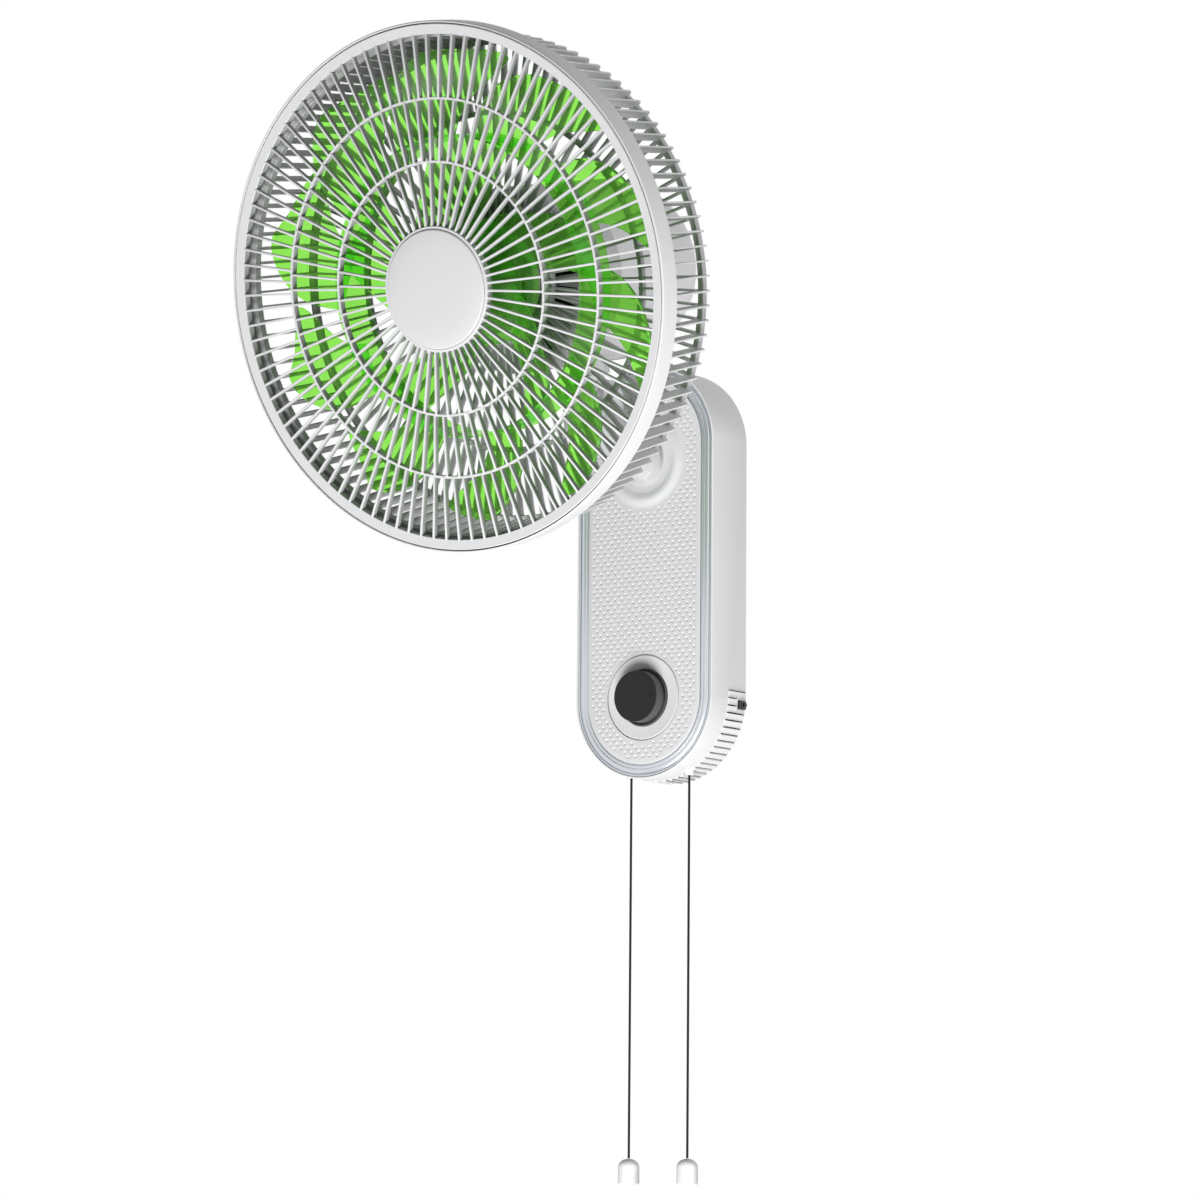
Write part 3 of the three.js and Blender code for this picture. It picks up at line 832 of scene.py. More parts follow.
@dataclass(frozen=True)
class HeadSeat:
    """Where the tilted head stands: the middle of the rim's front, and its nose-down angle."""

    centre: Vector
    tilt: float

    @classmethod
    def from_spin(cls, joint: dict, ahead: float) -> HeadSeat:
        """Read the seat from the joint that the blades turn on.

        Args:
            joint: The joint, with its place and its axis, which points back.
            ahead: How far the rim's front lies in front of the joint's place.

        Returns:
            The seat of the head.
        """
        axis = Vector(joint["axis"])
        return cls(Vector(joint["pos_m"]) - axis * ahead, math.atan2(axis.z, axis.y))


@dataclass
class Workshop:
    """What every sub-assembly needs: the frame, the finishes and the head's seat."""

    frame: dict
    palette: Palette
    head: HeadSeat

    def deliver(
        self,
        piece: Piece,
        body: str,
        slot: Slot,
        node: str,
        smooth: float = 32.0,
        finish: Material | None = None,
    ) -> None:
        """Finish a piece.

        Args:
            piece: The piece.
            body: The body it rides on.
            slot: The slot its finish belongs to.
            node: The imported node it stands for.
            smooth: The angle of the sharpest edge that is shaded smooth, in degrees.
            finish: A material of its own, in place of the slot's.
        """
        Bench.smooth(piece, smooth)
        self.palette.dress(piece, slot, finish)
        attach(piece, body)
        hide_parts(node)
        log.info("%s rides on %s", piece.name, body)

    def seat(
        self, piece: Piece, body: str, slot: Slot, node: str, finish: Material | None = None
    ) -> None:
        """Carry a piece from the head's own frame to its place, and finish it as `deliver` does."""
        Bench.place(piece, (self.head.tilt, 0, 0), self.head.centre)
        self.deliver(piece, body, slot, node, finish=finish)

    def redress(self, slot: Slot, *nodes: str) -> None:
        """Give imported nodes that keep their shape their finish.

        Args:
            slot: The slot of their finish.
            *nodes: The nodes' names.
        """
        for name in nodes:
            self.palette.dress(self.frame["nodes"][name], slot)
            log.info("%s keeps its packed shape", name)


# ---- studio


@dataclass
class Studio:
    """Camera, lamps, white surroundings and a pale floor."""

    lens: float = 135.0
    azimuth: float = 35.3
    elevation: float = -7.75
    roll: float = 0.465
    target: Place = (0.0, -0.351, 0.1994)
    distance: float = 3.71475
    aside: float = -0.1312
    above: float = 0.257
    sensor: float = 36.0
    sight: float = 50.0
    ambient: float = 0.065
    floor_level: float = -2.1
    middle: Place = (0.0, -0.25, 0.05)

    def build(self) -> None:
        """Set up everything that isn't the fan."""
        self._camera()
        self._surroundings()
        self._floor()
        self._lamp("Low_softbox", (0.52, -1.62, -1.62), 1.2, 63.0)
        self._lamp("Side_softbox", (1.78, 0.0, 0.2), 1.1, 16.0)
        bpy.context.scene.view_settings.view_transform = "Standard"

    def _camera(self) -> None:
        """A long lens, to the right of the fan and a little below it."""
        azimuth, elevation, roll = (math.radians(a) for a in (self.azimuth, self.elevation, self.roll))
        flat = math.cos(elevation)
        back = Vector((math.sin(azimuth) * flat, -math.cos(azimuth) * flat, math.sin(elevation)))
        level = Vector((math.cos(azimuth), math.sin(azimuth), 0))
        upright = level.cross(back) * -1
        right = math.cos(roll) * level + math.sin(roll) * upright
        up = -math.sin(roll) * level + math.cos(roll) * upright
        place = Vector(self.target) + back * self.distance - right * self.aside - up * self.above
        Bench.take()
        bpy.ops.object.camera_add()
        camera = bpy.context.object
        camera.name = "Studio_camera"
        camera.matrix_world = Matrix((right, up, back)).transposed().to_4x4()
        camera.location = place
        camera.data.lens = self.lens
        camera.data.sensor_width = self.sensor
        camera.data.clip_end = self.sight
        bpy.context.scene.camera = camera

    def _surroundings(self) -> None:
        """A world that lights the fan evenly, and that is white where it is seen.

        Seen means by the camera, or in gloss and clear plastic, but not by light that a dull surface gathers.
        """
        world = bpy.data.worlds.new("Studio_world")
        bpy.context.scene.world = world
        world.use_nodes = True
        tree = world.node_tree
        tree.nodes.clear()
        output = tree.nodes.new("ShaderNodeOutputWorld")
        mix = tree.nodes.new("ShaderNodeMixShader")
        ray = tree.nodes.new("ShaderNodeLightPath").outputs
        lit, seen = (tree.nodes.new("ShaderNodeBackground") for _ in range(2))
        lit.inputs["Strength"].default_value = self.ambient
        for background in (lit, seen):
            background.inputs["Color"].default_value = (1, 1, 1, 1)
        shown = self._sum(tree, "MAXIMUM", ray["Is Glossy Ray"], ray["Is Transmission Ray"])
        direct = self._sum(tree, "LESS_THAN", ray["Diffuse Depth"], 0.5)
        shown = self._sum(tree, "MULTIPLY", shown, direct)
        shown = self._sum(tree, "MAXIMUM", shown, ray["Is Camera Ray"])
        tree.links.new(shown, mix.inputs[0])
        tree.links.new(lit.outputs[0], mix.inputs[1])
        tree.links.new(seen.outputs[0], mix.inputs[2])
        tree.links.new(mix.outputs[0], output.inputs["Surface"])

    @staticmethod
    def _sum(
        tree: bpy.types.NodeTree, operation: str, first: bpy.types.NodeSocket, second: bpy.types.NodeSocket | float
    ) -> bpy.types.NodeSocket:
        """Add a Math node to the world's tree.

        Args:
            tree: The tree.
            operation: The node's operation.
            first: Its first value.
            second: Its second value.

        Returns:
            The result's socket.
        """
        made = tree.nodes.new("ShaderNodeMath")
        made.operation = operation
        tree.links.new(first, made.inputs[0])
        if isinstance(second, float):
            made.inputs[1].default_value = second
        else:
            tree.links.new(second, made.inputs[1])
        return made.outputs[0]

    def _floor(self) -> None:
        """A pale floor far below the pull cords."""
        Bench.take()
        bpy.ops.mesh.primitive_plane_add(size=3.0, location=(0, -0.6, self.floor_level))
        floor = Bench.named("Studio_floor")
        floor.data.materials.append(MouldedPlastic("Pale_floor", (0.8, 0.8, 0.8), 0.7).material())

    def _lamp(self, name: str, place: Place, size: float, power: float) -> None:
        """A square softbox that faces the fan, and that clear plastic doesn't pass on.

        Args:
            name: The lamp's name.
            place: Where it stands.
            size: Its width.
            power: Its power in watts.
        """
        aim = Vector(self.middle) - Vector(place)
        Bench.take()
        bpy.ops.object.light_add(type="AREA", location=place, rotation=aim.to_track_quat("-Z", "Y").to_euler())
        lamp = bpy.context.object
        lamp.name = name
        lamp.data.size = size
        lamp.data.energy = power
        lamp.visible_transmission = False


# ---- pull cords


@dataclass
class PullCord:
    """A braided cord that hangs out of the base, with its bullet-shaped pull."""

    shop: Workshop
    side: str
    x: float
    y: float = CORD_Y
    top: float = -0.150
    bottom: float = -0.5084
    radius: float = 0.00105
    pull_radius: float = 0.0093
    pull_length: float = 0.0222
    dome: float = 0.0075

    def build(self) -> None:
        """Make the cord and its pull."""
        body = f"pull_{self.side}"
        pull, cord = self._pull(), self._cord()
        self.shop.deliver(pull, body, Slot.WHITE, f"pull_knob_{self.side}", 40.0)
        self.shop.deliver(cord, body, Slot.CORD, f"pull_cord_{self.side}")
        self.top - self.bottom
        2 * self.radius

    def _route(self, points: int = 24) -> list[Vector]:
        """Points along the cord from its switch down to its pull."""
        top, bottom = (Vector((self.x, self.y, z)) for z in (self.top, self.bottom))
        return [top.lerp(bottom, i / (points - 1)) for i in range(points)]

    def _cord(self) -> Piece:
        """A straight round tube, extruded from point to point of its route.

        Returns:
            The cord.
        """
        route = self._route()
        Bench.take()
        bpy.ops.mesh.primitive_circle_add(vertices=12, radius=self.radius, fill_type="NGON", location=route[0])
        cord = Bench.named(f"Pull_cord_{self.side}")
        with Bench.editing(cord, whole=True):
            for before, after in zip(route, route[1:]):
                Bench.extrude(after - before)
        Bench.tidy(cord)
        return cord

    def _pull(self) -> Piece:
        """A bullet with a domed top, a hole for the cord and a hollow in its foot.

        Returns:
            The pull.
        """
        r, top = self.pull_radius, self.bottom - 0.0003
        foot = top - self.pull_length
        turns = (QUARTER * i / 8 for i in range(8))
        arc = [(r * math.cos(a), top - self.dome + self.dome * math.sin(a)) for a in turns]
        profile = [
            (0, top - 0.0012), (0.0014, top - 0.0012), (0.0016, top - 0.0002), (0.0021, top - 0.0001), *reversed(arc),
            (r, foot + 0.0008), (r - 0.0008, foot), (r - 0.0022, foot), (r - 0.0026, foot + 0.003), (0, foot + 0.003),
        ]
        pull = Bench.turned(f"Pull_{self.side}", profile, 48, Axis.Z)
        Bench.place(pull, move=(self.x, self.y, 0))
        return pull


# ---- wall base


@dataclass
class BaseHousing:
    """The wall base: shell with vents, silver band, dotted panel, dial and gland."""

    shop: Workshop
    radius: float = 0.0715
    straight: float = 0.1105
    back: float = -0.0004
    front: float = -0.054
    wall: float = 0.0026
    lip: float = 0.0015
    sink: float = 0.002
    panel_inset: float = 0.0125
    panel_front: float = -0.0546
    front_wall: float = 0.0024
    dish_radius: float = 0.042
    bead_width: float = 0.0165
    bead_rise: float = 0.0021
    dial_radius: float = 0.0375
    knob_radius: float = 0.0224
    skirt_radius: float = 0.0253
    dot_pitch: Point = (0.0076, 0.00773)
    dot_radius: float = 0.0015
    cord_hole: float = 0.0045
    arm_hole: float = 0.009
    dial_hole: float = 0.0342
    gland_hole: Place = (0.012, 0.0107, 0.0079)
    gland: Place = (0.010, 0.0104, 0.0076)
    nib: Place = (0.0022, 0.0034, 0.0034)
    vent_ends: Point = (-0.0013, -0.0278)
    vent_below_gland: float = -0.0150
    slit: tuple[Point, ...] = ((-0.0036, 0.0010), (0.002, 0.0010), (0.002, 0.0022), (-0.0036, 0.0022))
    hood: tuple[Point, ...] = ((-0.0005, -0.0030), (0.0001, -0.0029), (0.0012, 0.0010), (-0.0005, 0.0010))

    def build(self) -> None:
        """Make and dress every visible piece of the base."""
        deliver = self.shop.deliver
        deliver(self._shell(), "base", Slot.WHITE, "base_shell")
        deliver(self._band(), "base", Slot.SILVER, "trim_ring", 50.0)
        deliver(self._panel(), "base", Slot.PANEL, "front_panel", 40.0)
        deliver(self._dial(), "base", Slot.WHITE, "dial_dish")
        deliver(self._knob(), "dial", Slot.BLACK, "timer_knob", finish=self.shop.palette.knob)
        deliver(self._gland(), "base", Slot.BLACK, "cord_gland")
        self.shop.redress(Slot.GREY, "wall_plate", "timer_switch", "speed_switch", "swing_switch", "terminal_block")
        self.shop.redress(Slot.WHITE, "cord_guide_left", "cord_guide_right")
        self.shop.redress(Slot.BLACK, "run_capacitor")
        self.shop.redress(Slot.STEEL, "timer_shaft")

    def _shell(self) -> Piece:
        """A hollow shell with a lip round its front, cord holes and vents round its foot.

        Returns:
            The shell with its hoods.
        """
        shell = Bench.stadium("Base_shell", self.radius, self.straight, self.back)
        with Bench.editing(shell, "FACE", whole=True):
            Bench.extrude((0, self.front - self.back, 0))
            bpy.ops.mesh.inset(thickness=self.lip)
            Bench.extrude((0, self.sink, 0))
            Bench.pick(shell, lambda p, _: abs(p.y - self.back) < 1e-6, faces=True)
            bpy.ops.mesh.inset(thickness=self.wall)
            Bench.extrude((0, self.front + self.sink + self.front_wall - self.back, 0))
        Bench.tidy(shell)
        Bench.round_edges(shell, 0.0005, 3, 50.0)
        for x in (-CORD_X, CORD_X):
            Bench.cut(shell, Bench.rod("Cord_hole", self.cord_hole, (x, CORD_Y, -0.155), (x, CORD_Y, -0.19)))
        Bench.cut(shell, Bench.rod("Arm_hole", self.arm_hole, (0, -0.04, ARM_Z), (0, -0.06, ARM_Z)))
        Bench.cut(shell, Bench.rod("Dial_hole", self.dial_hole, (0, -0.04, DIAL_Z), (0, -0.06, DIAL_Z), 64))
        Bench.cut(shell, Bench.box("Gland_hole", self.gland_hole, (self.radius, -0.0074, GLAND_Z)))
        Bench.cut(shell, self._louvres("Vent_slits", self.slit))
        hoods = self._louvres("Vent_hoods", self.hood)
        return Bench.join("Base_shell", shell, hoods)

    def _louvres(
        self, name: str, outline: Sequence[Point], count: int = 18, first: float = -0.1079, pitch: float = 0.00645
    ) -> Piece:
        """One long prism for each vent, down both flanks and round the lower arc.

        Args:
            name: The piece's name.
            outline: The prism's section, outwards from the flank and up.
            count: Vents on each side.
            first: Height of the highest one.
            pitch: Distance from one to the next along the shell.

        Returns:
            All the prisms as one piece.
        """
        prisms = []
        for index in range(count):
            travel = first - pitch * index
            angle = max(0.0, (-self.straight - travel) / self.radius)
            height = max(travel, -self.straight)
            for side in (1, -1):
                near, far = self.vent_ends
                if side > 0 and abs(travel - GLAND_Z) < pitch:
                    near = self.vent_below_gland
                places = [Vector((x, near, z)) for x, z in outline]
                prism = Bench.slab(f"{name}_{index}_{side}", places, (0, far - near, 0))
                Bench.place(prism, move=(self.radius, 0, 0))
                Bench.place(prism, turn=(0, angle, 0), move=(0, 0, height))
                if side < 0:
                    Bench.mirror_x(prism)
                prisms.append(prism)
        return Bench.join(name, *prisms)

    def _band(self) -> Piece:
        """The silver band: a small ridge, a groove and a wide soft bead, inside the lip.

        Returns:
            The band.
        """
        floor = self.front + self.sink  # each step inwards has a width and a rise
        steps = [
            (0.0003, 0.0), (0.0002, 0.0010), (0.0006, 0.0002), (0.0005, -0.0002), (0.0002, -0.0010), (0.0004, 0.0),
            (0.0003, 0.0008), (0.0006, 0.0007), (0.0011, 0.0006), (0.0014, 0.0002), (0.0010, -0.0001),
            (0.0007, -0.0006), (0.0006, 0.0003), (0.0011, 0.0001), (0.0009, -0.0005), (0.0007, -0.0007),
            (0.0004, -0.0008), (0.0003, 0.0),
        ]
        free = 0.00005
        band = Bench.stadium("Silver_band", self.radius - self.lip - free, self.straight, floor - free)
        width = sum(step for step, _ in steps)
        with Bench.editing(band, "FACE", whole=True):
            Bench.extrude((0, -0.0002, 0))
            for thickness, rise in steps:
                bpy.ops.mesh.inset(thickness=thickness)
                Bench.move((0, -rise, 0))
            bpy.ops.mesh.delete(type="FACE")
            Bench.pick(band, lambda p, _: abs(p.y - floor + free) < 1e-6, faces=True)
            bpy.ops.mesh.inset(thickness=width)
            bpy.ops.mesh.delete(type="FACE")
            bpy.ops.mesh.select_mode(type="EDGE")
            bpy.ops.mesh.select_all(action="DESELECT")
            bpy.ops.mesh.select_non_manifold()
            bpy.ops.mesh.bridge_edge_loops()
        Bench.tidy(band, 1e-7)
        return band

    def _panel(self) -> Piece:
        """The front panel, with a raised ring round a smooth bowl where the arm starts.

        Returns:
            The panel.
        """
        panel = Bench.stadium("Front_panel", self.radius - self.panel_inset, self.straight, PANEL_BACK)
        with Bench.editing(panel, "FACE", whole=True):
            Bench.extrude((0, self.panel_front - PANEL_BACK, 0))
        Bench.tidy(panel)
        Bench.round_edges(panel, 0.0006, 3, 50.0)
        for radius, z in ((self.dish_radius, ARM_Z), (self.dial_radius + 0.0003, DIAL_Z)):
            Bench.cut(panel, Bench.rod("Round_cut", radius, (0, -0.05, z), (0, -0.06, z), 96))
        Bench.cut(panel, self._dots(), solver="MANIFOLD")
        top = self.panel_front
        r, w, rise = self.dish_radius, self.bead_width, self.bead_rise
        bead = [(r - w * i / 16, top - rise * (1 - math.cos(TURN * i / 16)) / 2) for i in range(17)]
        floor = [(0.0240, top + 0.0004), (0.0200, top + 0.0006), (0.0150, top + 0.0006), (0.0150, PANEL_BACK)]
        bowl = Bench.turned("Arm_bowl", [(r, PANEL_BACK), *bead, *floor], closed=True)
        Bench.place(bowl, move=(0, 0, ARM_Z))
        return Bench.join("Front_panel", panel, bowl)

    def _dots(self) -> Piece:
        """Small balls in two staggered lattices, which leave round dimples in the panel's front.

        Returns:
            The balls as one piece.
        """
        across, up = self.dot_pitch
        ball = self.dot_radius / math.sin(math.radians(60))
        columns, rows = 17, 47
        lattices = []
        for shift in (0.0, 0.5):
            Bench.take()
            bpy.ops.mesh.primitive_uv_sphere_add(segments=12, ring_count=9, radius=ball)
            dot = Bench.named("Panel_dots")
            Bench.place(dot, turn=(QUARTER, 0, 0))
            start = (-(columns // 2) + shift, -(rows // 2) + shift)
            Bench.place(dot, move=(start[0] * across, self.panel_front - ball / 2, start[1] * up))
            for count, step in ((columns, (across, 0, 0)), (rows, (0, 0, up))):
                Bench.change(
                    dot, "ARRAY", count=count, use_relative_offset=False, use_constant_offset=True,
                    constant_offset_displace=step,
                )
            with Bench.editing(dot):
                Bench.pick(dot, lambda p, _: not self._dotted(self._dot_middle(p, shift)))
                bpy.ops.mesh.delete(type="VERT")
            lattices.append(dot)
        return Bench.join("Panel_dots", *lattices)

    def _dot_middle(self, place: Vector, shift: float) -> Point:
        """The middle of the dot that a point belongs to, in the lattice with this shift."""
        across, up = self.dot_pitch
        return (round(place.x / across - shift) + shift) * across, (round(place.z / up - shift) + shift) * up

    def _dotted(self, middle: Point) -> bool:
        """Whether the panel has a dimple there.

        Args:
            middle: The dimple's middle.

        Returns:
            True where it is clear of the panel's edge, of the arm's ring and of the dial.
        """
        x, z = middle
        clear = 0.0028
        from_spine = math.hypot(x, max(0.0, abs(z) - self.straight))
        from_dish = math.hypot(x, z - ARM_Z) - self.dish_radius
        from_dial = math.hypot(x, z - DIAL_Z) - self.dial_radius
        return from_spine < self.radius - self.panel_inset - 0.0042 and min(from_dish, from_dial) > clear

    def _dial(self) -> Piece:
        """The shallow dish round the knob, with a round well for the knob's skirt.

        Returns:
            The dish.
        """
        top, well = self.panel_front, self.skirt_radius
        profile = [
            (0.007, top + 0.0045), (well, top + 0.0045), (well, top + 0.0014), (well + 0.0003, top + 0.0011),
            (0.0290, top + 0.0008), (0.0330, top + 0.0005), (0.0355, top + 0.0001), (0.0362, top),
            (0.0367, top + 0.0002), (0.0369, top + 0.0007), (0.0369, PANEL_BACK), (0.0335, PANEL_BACK),
            (0.0250, top + 0.0061), (0.007, top + 0.0061),
        ]
        dish = Bench.turned("Dial_dish", profile, closed=True)
        Bench.place(dish, move=(0, 0, DIAL_Z))
        return dish

    def _knob(self) -> Piece:
        """The round knob with a groove and a skirt at its foot, and a small dimple in its face.

        Returns:
            The knob.
        """
        top = self.panel_front
        foot = top + 0.0039
        face = foot - 0.0162
        r, skirt = self.knob_radius, self.skirt_radius - 0.0003
        profile = [
            (0, face + 0.0001), (r - 0.0030, face), (r - 0.0009, face), (r - 0.0003, face + 0.0002),
            (r, face + 0.0008), (r, top + 0.0020), (skirt - 0.0010, top + 0.0020), (skirt - 0.0010, top),
            (skirt - 0.0006, top - 0.0004), (skirt, top + 0.0003), (skirt, foot), (0, foot),
        ]
        knob = Bench.turned("Round_knob", profile)
        Bench.place(knob, move=(0, 0, DIAL_Z))
        socket = Bench.rod("Socket", 0.0033, (0, foot + 0.002, DIAL_Z), (0, foot - 0.0106, DIAL_Z), 24)
        mark = Bench.rod("Dimple", 0.0012, (0.0169, face - 0.002, -0.110), (0.0169, face + 0.0007, -0.110), 16)
        Bench.cut(knob, socket, mark)
        return knob

    def _gland(self) -> Piece:
        """The black block with a nib where a mains lead would enter.

        Returns:
            The gland.
        """
        block = Bench.box("Gland", self.gland, (self.radius - 0.0034, -0.0074, GLAND_Z))
        nib = Bench.box("Nib", self.nib, (self.radius + 0.0022, -0.0052, GLAND_Z))
        for piece in (block, nib):
            Bench.round_edges(piece, 0.0004)
        return Bench.join("Gland", block, nib)


# ---- arm and neck


@dataclass
class Neck:
    """The arm from the base to the tilt hinge, the knuckle and the bolt."""

    shop: Workshop
    foot_radius: float = 0.0196

    def build(self) -> None:
        """Make the arm and dress the neck."""
        redress = self.shop.redress
        # The arm is dressed in grey, darker than the white plastic, as painted shade that tones down its brightly lit
        # underside.
        self.shop.deliver(self._arm(), "base", Slot.GREY, "base_arm", 40.0)
        redress(Slot.WHITE, "tilt_knuckle")
        redress(Slot.STEEL, "tilt_bolt", "tilt_nut", "arm_screw_left", "arm_screw_right")
        redress(Slot.STEEL, "swing_spindle", "swing_lever")
        redress(Slot.GREY, "swing_bearing")

    def _arm(self) -> Piece:
        """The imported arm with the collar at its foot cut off, so that it rises from the panel's bowl.

        Returns:
            The arm.
        """
        Bench.take(self.shop.frame["nodes"]["base_arm"])
        bpy.ops.object.duplicate()
        arm = bpy.context.view_layer.objects.active
        arm.name = "Arm"
        Bench.tidy(arm)
        r = self.foot_radius
        profile = [(r, -0.0520), (r + 0.012, -0.0520), (r + 0.012, -0.0640), (r, -0.0640)]
        collar = Bench.turned("Collar_cut", profile, closed=True)
        Bench.place(collar, move=(0, 0, ARM_Z))
        Bench.cut(arm, collar)
        return arm


# ---- motor


@dataclass
class MotorHousing:
    """The two motor covers and what they hold."""

    shop: Workshop
    radius: float = 0.079
    front: float = 0.094
    joint: float = 0.150
    wall: float = 0.0026
    boss: float = 0.030
    boss_front: float = 0.070
    slots: int = 30
    slot: Place = (0.024, 0.010, 0.0032)
    slot_middle: float = 0.0605
    opening: float = 0.0173
    spindle: float = 0.1985

    def build(self) -> None:
        """Make the covers and dress the motor inside."""
        self.shop.seat(self._front_cover(), "head", Slot.GREY, "motor_front_cover")
        self.shop.seat(self._rear_cover(), "head", Slot.WHITE, "motor_rear_cover")
        redress = self.shop.redress
        redress(Slot.SHEETS, "stator_core", "rotor_core")
        redress(Slot.COPPER, "field_windings")
        redress(
            Slot.STEEL, "front_bracket", "rear_bracket", "front_bearing", "rear_bearing", "rotor_shaft",
            "crank_disc", "link_rod",
        )
        redress(Slot.GREY, "swing_motor")

    def _front_cover(self) -> Piece:
        """The cup behind the blades, with radial slots and a boss for the guard's nut.

        Returns:
            The cover.
        """
        r, f, w, boss = self.radius, self.front, self.wall, self.boss
        profile = [
            (boss - w, self.boss_front), (boss, self.boss_front), (boss, f - 0.001), (boss + 0.001, f), (r - 0.006, f),
            (r - 0.003, f + 0.0008), (r - 0.0008, f + 0.003), (r, f + 0.006), (r, self.joint), (r - w, self.joint),
            (r - w, f + 0.007), (r - 0.0065, f + w), (boss - w, f + w),
        ]
        cover = Bench.turned("Motor_front", profile, closed=True)
        slot = Bench.box("Motor_slots", self.slot, (self.slot_middle, f, 0))
        Bench.copies_round(slot, self.slots)
        Bench.cut(cover, slot)
        return cover

    def _rear_cover(self) -> Piece:
        """The long cup over the motor and the swing drive, rounded at its back.

        Returns:
            The cover.
        """
        r, w, seat = self.radius, self.wall, self.joint + 0.0003
        outside = [
            (r - 0.0005, seat), (r, seat + 0.0006), (r, 0.2480), (0.0780, 0.2560), (0.0762, 0.2640), (0.0736, 0.2715),
            (0.0702, 0.2785), (0.0660, 0.2848), (0.0610, 0.2902), (0.0550, 0.2948), (0.0480, 0.2984),
            (0.0400, 0.3010), (0.0310, 0.3028), (0.0200, 0.3038), (0, 0.3040),
        ]
        inside = [(0, 0.3026), *((x - w, y - w) for x, y in reversed(outside[3:-1])), (r - w, seat)]
        cover = Bench.turned("Motor_rear", outside + inside, 112)
        Bench.cut(cover, Bench.rod("Neck", self.opening, (0, self.spindle, -0.09), (0, self.spindle, -0.04), 48))
        return cover


# ---- blades


@dataclass(frozen=True)
class Blade:
    """The form of one blade, as sections from its root to its tip.

    A section is its radius, the angles of its two edges in degrees from the right, and how far back each edge lies.
    """

    sections: tuple[tuple[float, float, float, float, float], ...]
    camber: float = 0.004

    def point(self, along: float, side: float) -> Vector:
        """A point of the leaf.

        Args:
            along: From 0 at the root to 1 at the tip.
            side: From -1 at the lower edge to 1 at the upper one.

        Returns:
            Its place for the first blade.
        """
        radius, low, high, low_back, high_back = self._section(along)
        share = (side + 1) / 2
        angle = math.radians(low + (high - low) * share)
        back = low_back + (high_back - low_back) * share + self.camber * (1 - side * side)
        return Vector((radius * math.cos(angle), back, radius * math.sin(angle)))

    def _section(self, along: float) -> list[float]:
        """The section at a share of the way, on a smooth curve through the given ones.

        Args:
            along: From 0 at the root to 1 at the tip.

        Returns:
            The section's five values.
        """
        last = len(self.sections) - 1
        index = min(int(along * last), last - 1)
        t = along * last - index
        before, start, end, after = (self.sections[max(0, min(last, index + step))] for step in (-1, 0, 1, 2))
        return [
            (2 * b + (c - a) * t + (2 * a - 5 * b + 4 * c - d) * t * t + (3 * b - a - 3 * c + d) * t**3) / 2
            for a, b, c, d in zip(before, start, end, after)
        ]


@dataclass
class Impeller:
    """The clear green blade wheel: five inner blades, a hoop and ten outer blades, with its nut."""

    INNER = Blade((
        (0.0500, 8.0, 66.0, 0.058, 0.028), (0.0650, 5.0, 54.5, 0.059, 0.028), (0.0800, 2.5, 42.0, 0.060, 0.028),
        (0.0950, -0.5, 32.5, 0.060, 0.028), (0.1100, -4.0, 26.0, 0.059, 0.028), (0.1245, -9.0, 17.5, 0.057, 0.029),
    ))
    OUTER = Blade((
        (0.1250, 17.0, 38.5, 0.044, 0.024), (0.1410, 14.5, 36.5, 0.047, 0.022), (0.1570, 10.0, 34.2, 0.050, 0.0205),
        (0.1720, 4.3, 30.6, 0.052, 0.019), (0.1840, 0.6, 26.0, 0.053, 0.0185), (0.1905, -0.4, 22.4, 0.053, 0.0185),
        (0.1938, 1.0, 19.8, 0.052, 0.019), (0.1950, 4.0, 16.5, 0.049, 0.021),
    ))
    shop: Workshop
    hub: float = 0.052
    hoop: float = 0.124
    thick: float = 0.0022

    def build(self) -> None:
        """Make the wheel and its nut."""
        hoop = Bench.hoop(self.hoop, self.hoop + 0.002, 0.0207, 0.0645, 0.0004, 120)
        pieces = [self._hub(), hoop, self._blades(5, self.INNER), self._blades(10, self.OUTER)]
        self.shop.seat(Bench.join("Blade_wheel", *pieces), "rotor", Slot.GREEN, "impeller")
        self.shop.seat(self._nut(), "rotor", Slot.BLACK, "blade_nut")

    def _hub(self) -> Piece:
        """The wide hub cup, with a step near its foot, and the sleeve on the shaft.

        Returns:
            The cup and its sleeve.
        """
        r = self.hub
        profile = [
            (0.0045, 0.023), (r - 0.022, 0.023), (r - 0.018, 0.0238), (r - 0.0155, 0.0262), (r - 0.0145, 0.0300),
            (r - 0.009, 0.048), (r - 0.002, 0.0495), (r, 0.0515), (r, 0.067), (r - 0.002, 0.067), (r - 0.002, 0.0525),
            (r - 0.0105, 0.0505), (r - 0.0165, 0.0305), (r - 0.020, 0.0262), (0.011, 0.0258), (0.011, 0.060),
            (0.0045, 0.060),
        ]
        return Bench.turned("Hub", profile, closed=True)

    def _blades(self, count: int, shape: Blade) -> Piece:
        """A ring of equal blades.

        Args:
            count: How many.
            shape: The form and the place of the first one.

        Returns:
            The blades as one piece.
        """
        Bench.take()
        bpy.ops.mesh.primitive_grid_add(x_subdivisions=28, y_subdivisions=12, size=2)
        blade = Bench.named(f"Blades_{count}")
        for vertex in blade.data.vertices:
            vertex.co = shape.point((vertex.co.x + 1) / 2, vertex.co.y)
        Bench.change(blade, "SOLIDIFY", thickness=self.thick, offset=0.0)
        Bench.tidy(blade)
        Bench.round_edges(blade, 0.0006, 2, 60.0)
        Bench.copies_round(blade, count)
        return blade

    def _nut(self) -> Piece:
        """The round nut that holds the wheel on the shaft.

        Returns:
            The nut.
        """
        profile = [
            (0, 0.008), (0.010, 0.008), (0.012, 0.0085), (0.0155, 0.0115), (0.016, 0.013), (0.016, 0.0226),
            (0.0043, 0.0226), (0.0043, 0.0167), (0, 0.0167),
        ]
        nut = Bench.turned("Blade_nut", profile, 48)
        Bench.knurl(nut, 18, 0.0012, (0.0168, 0.011, 0), (0.0168, 0.024, 0))
        return nut


# ---- guard


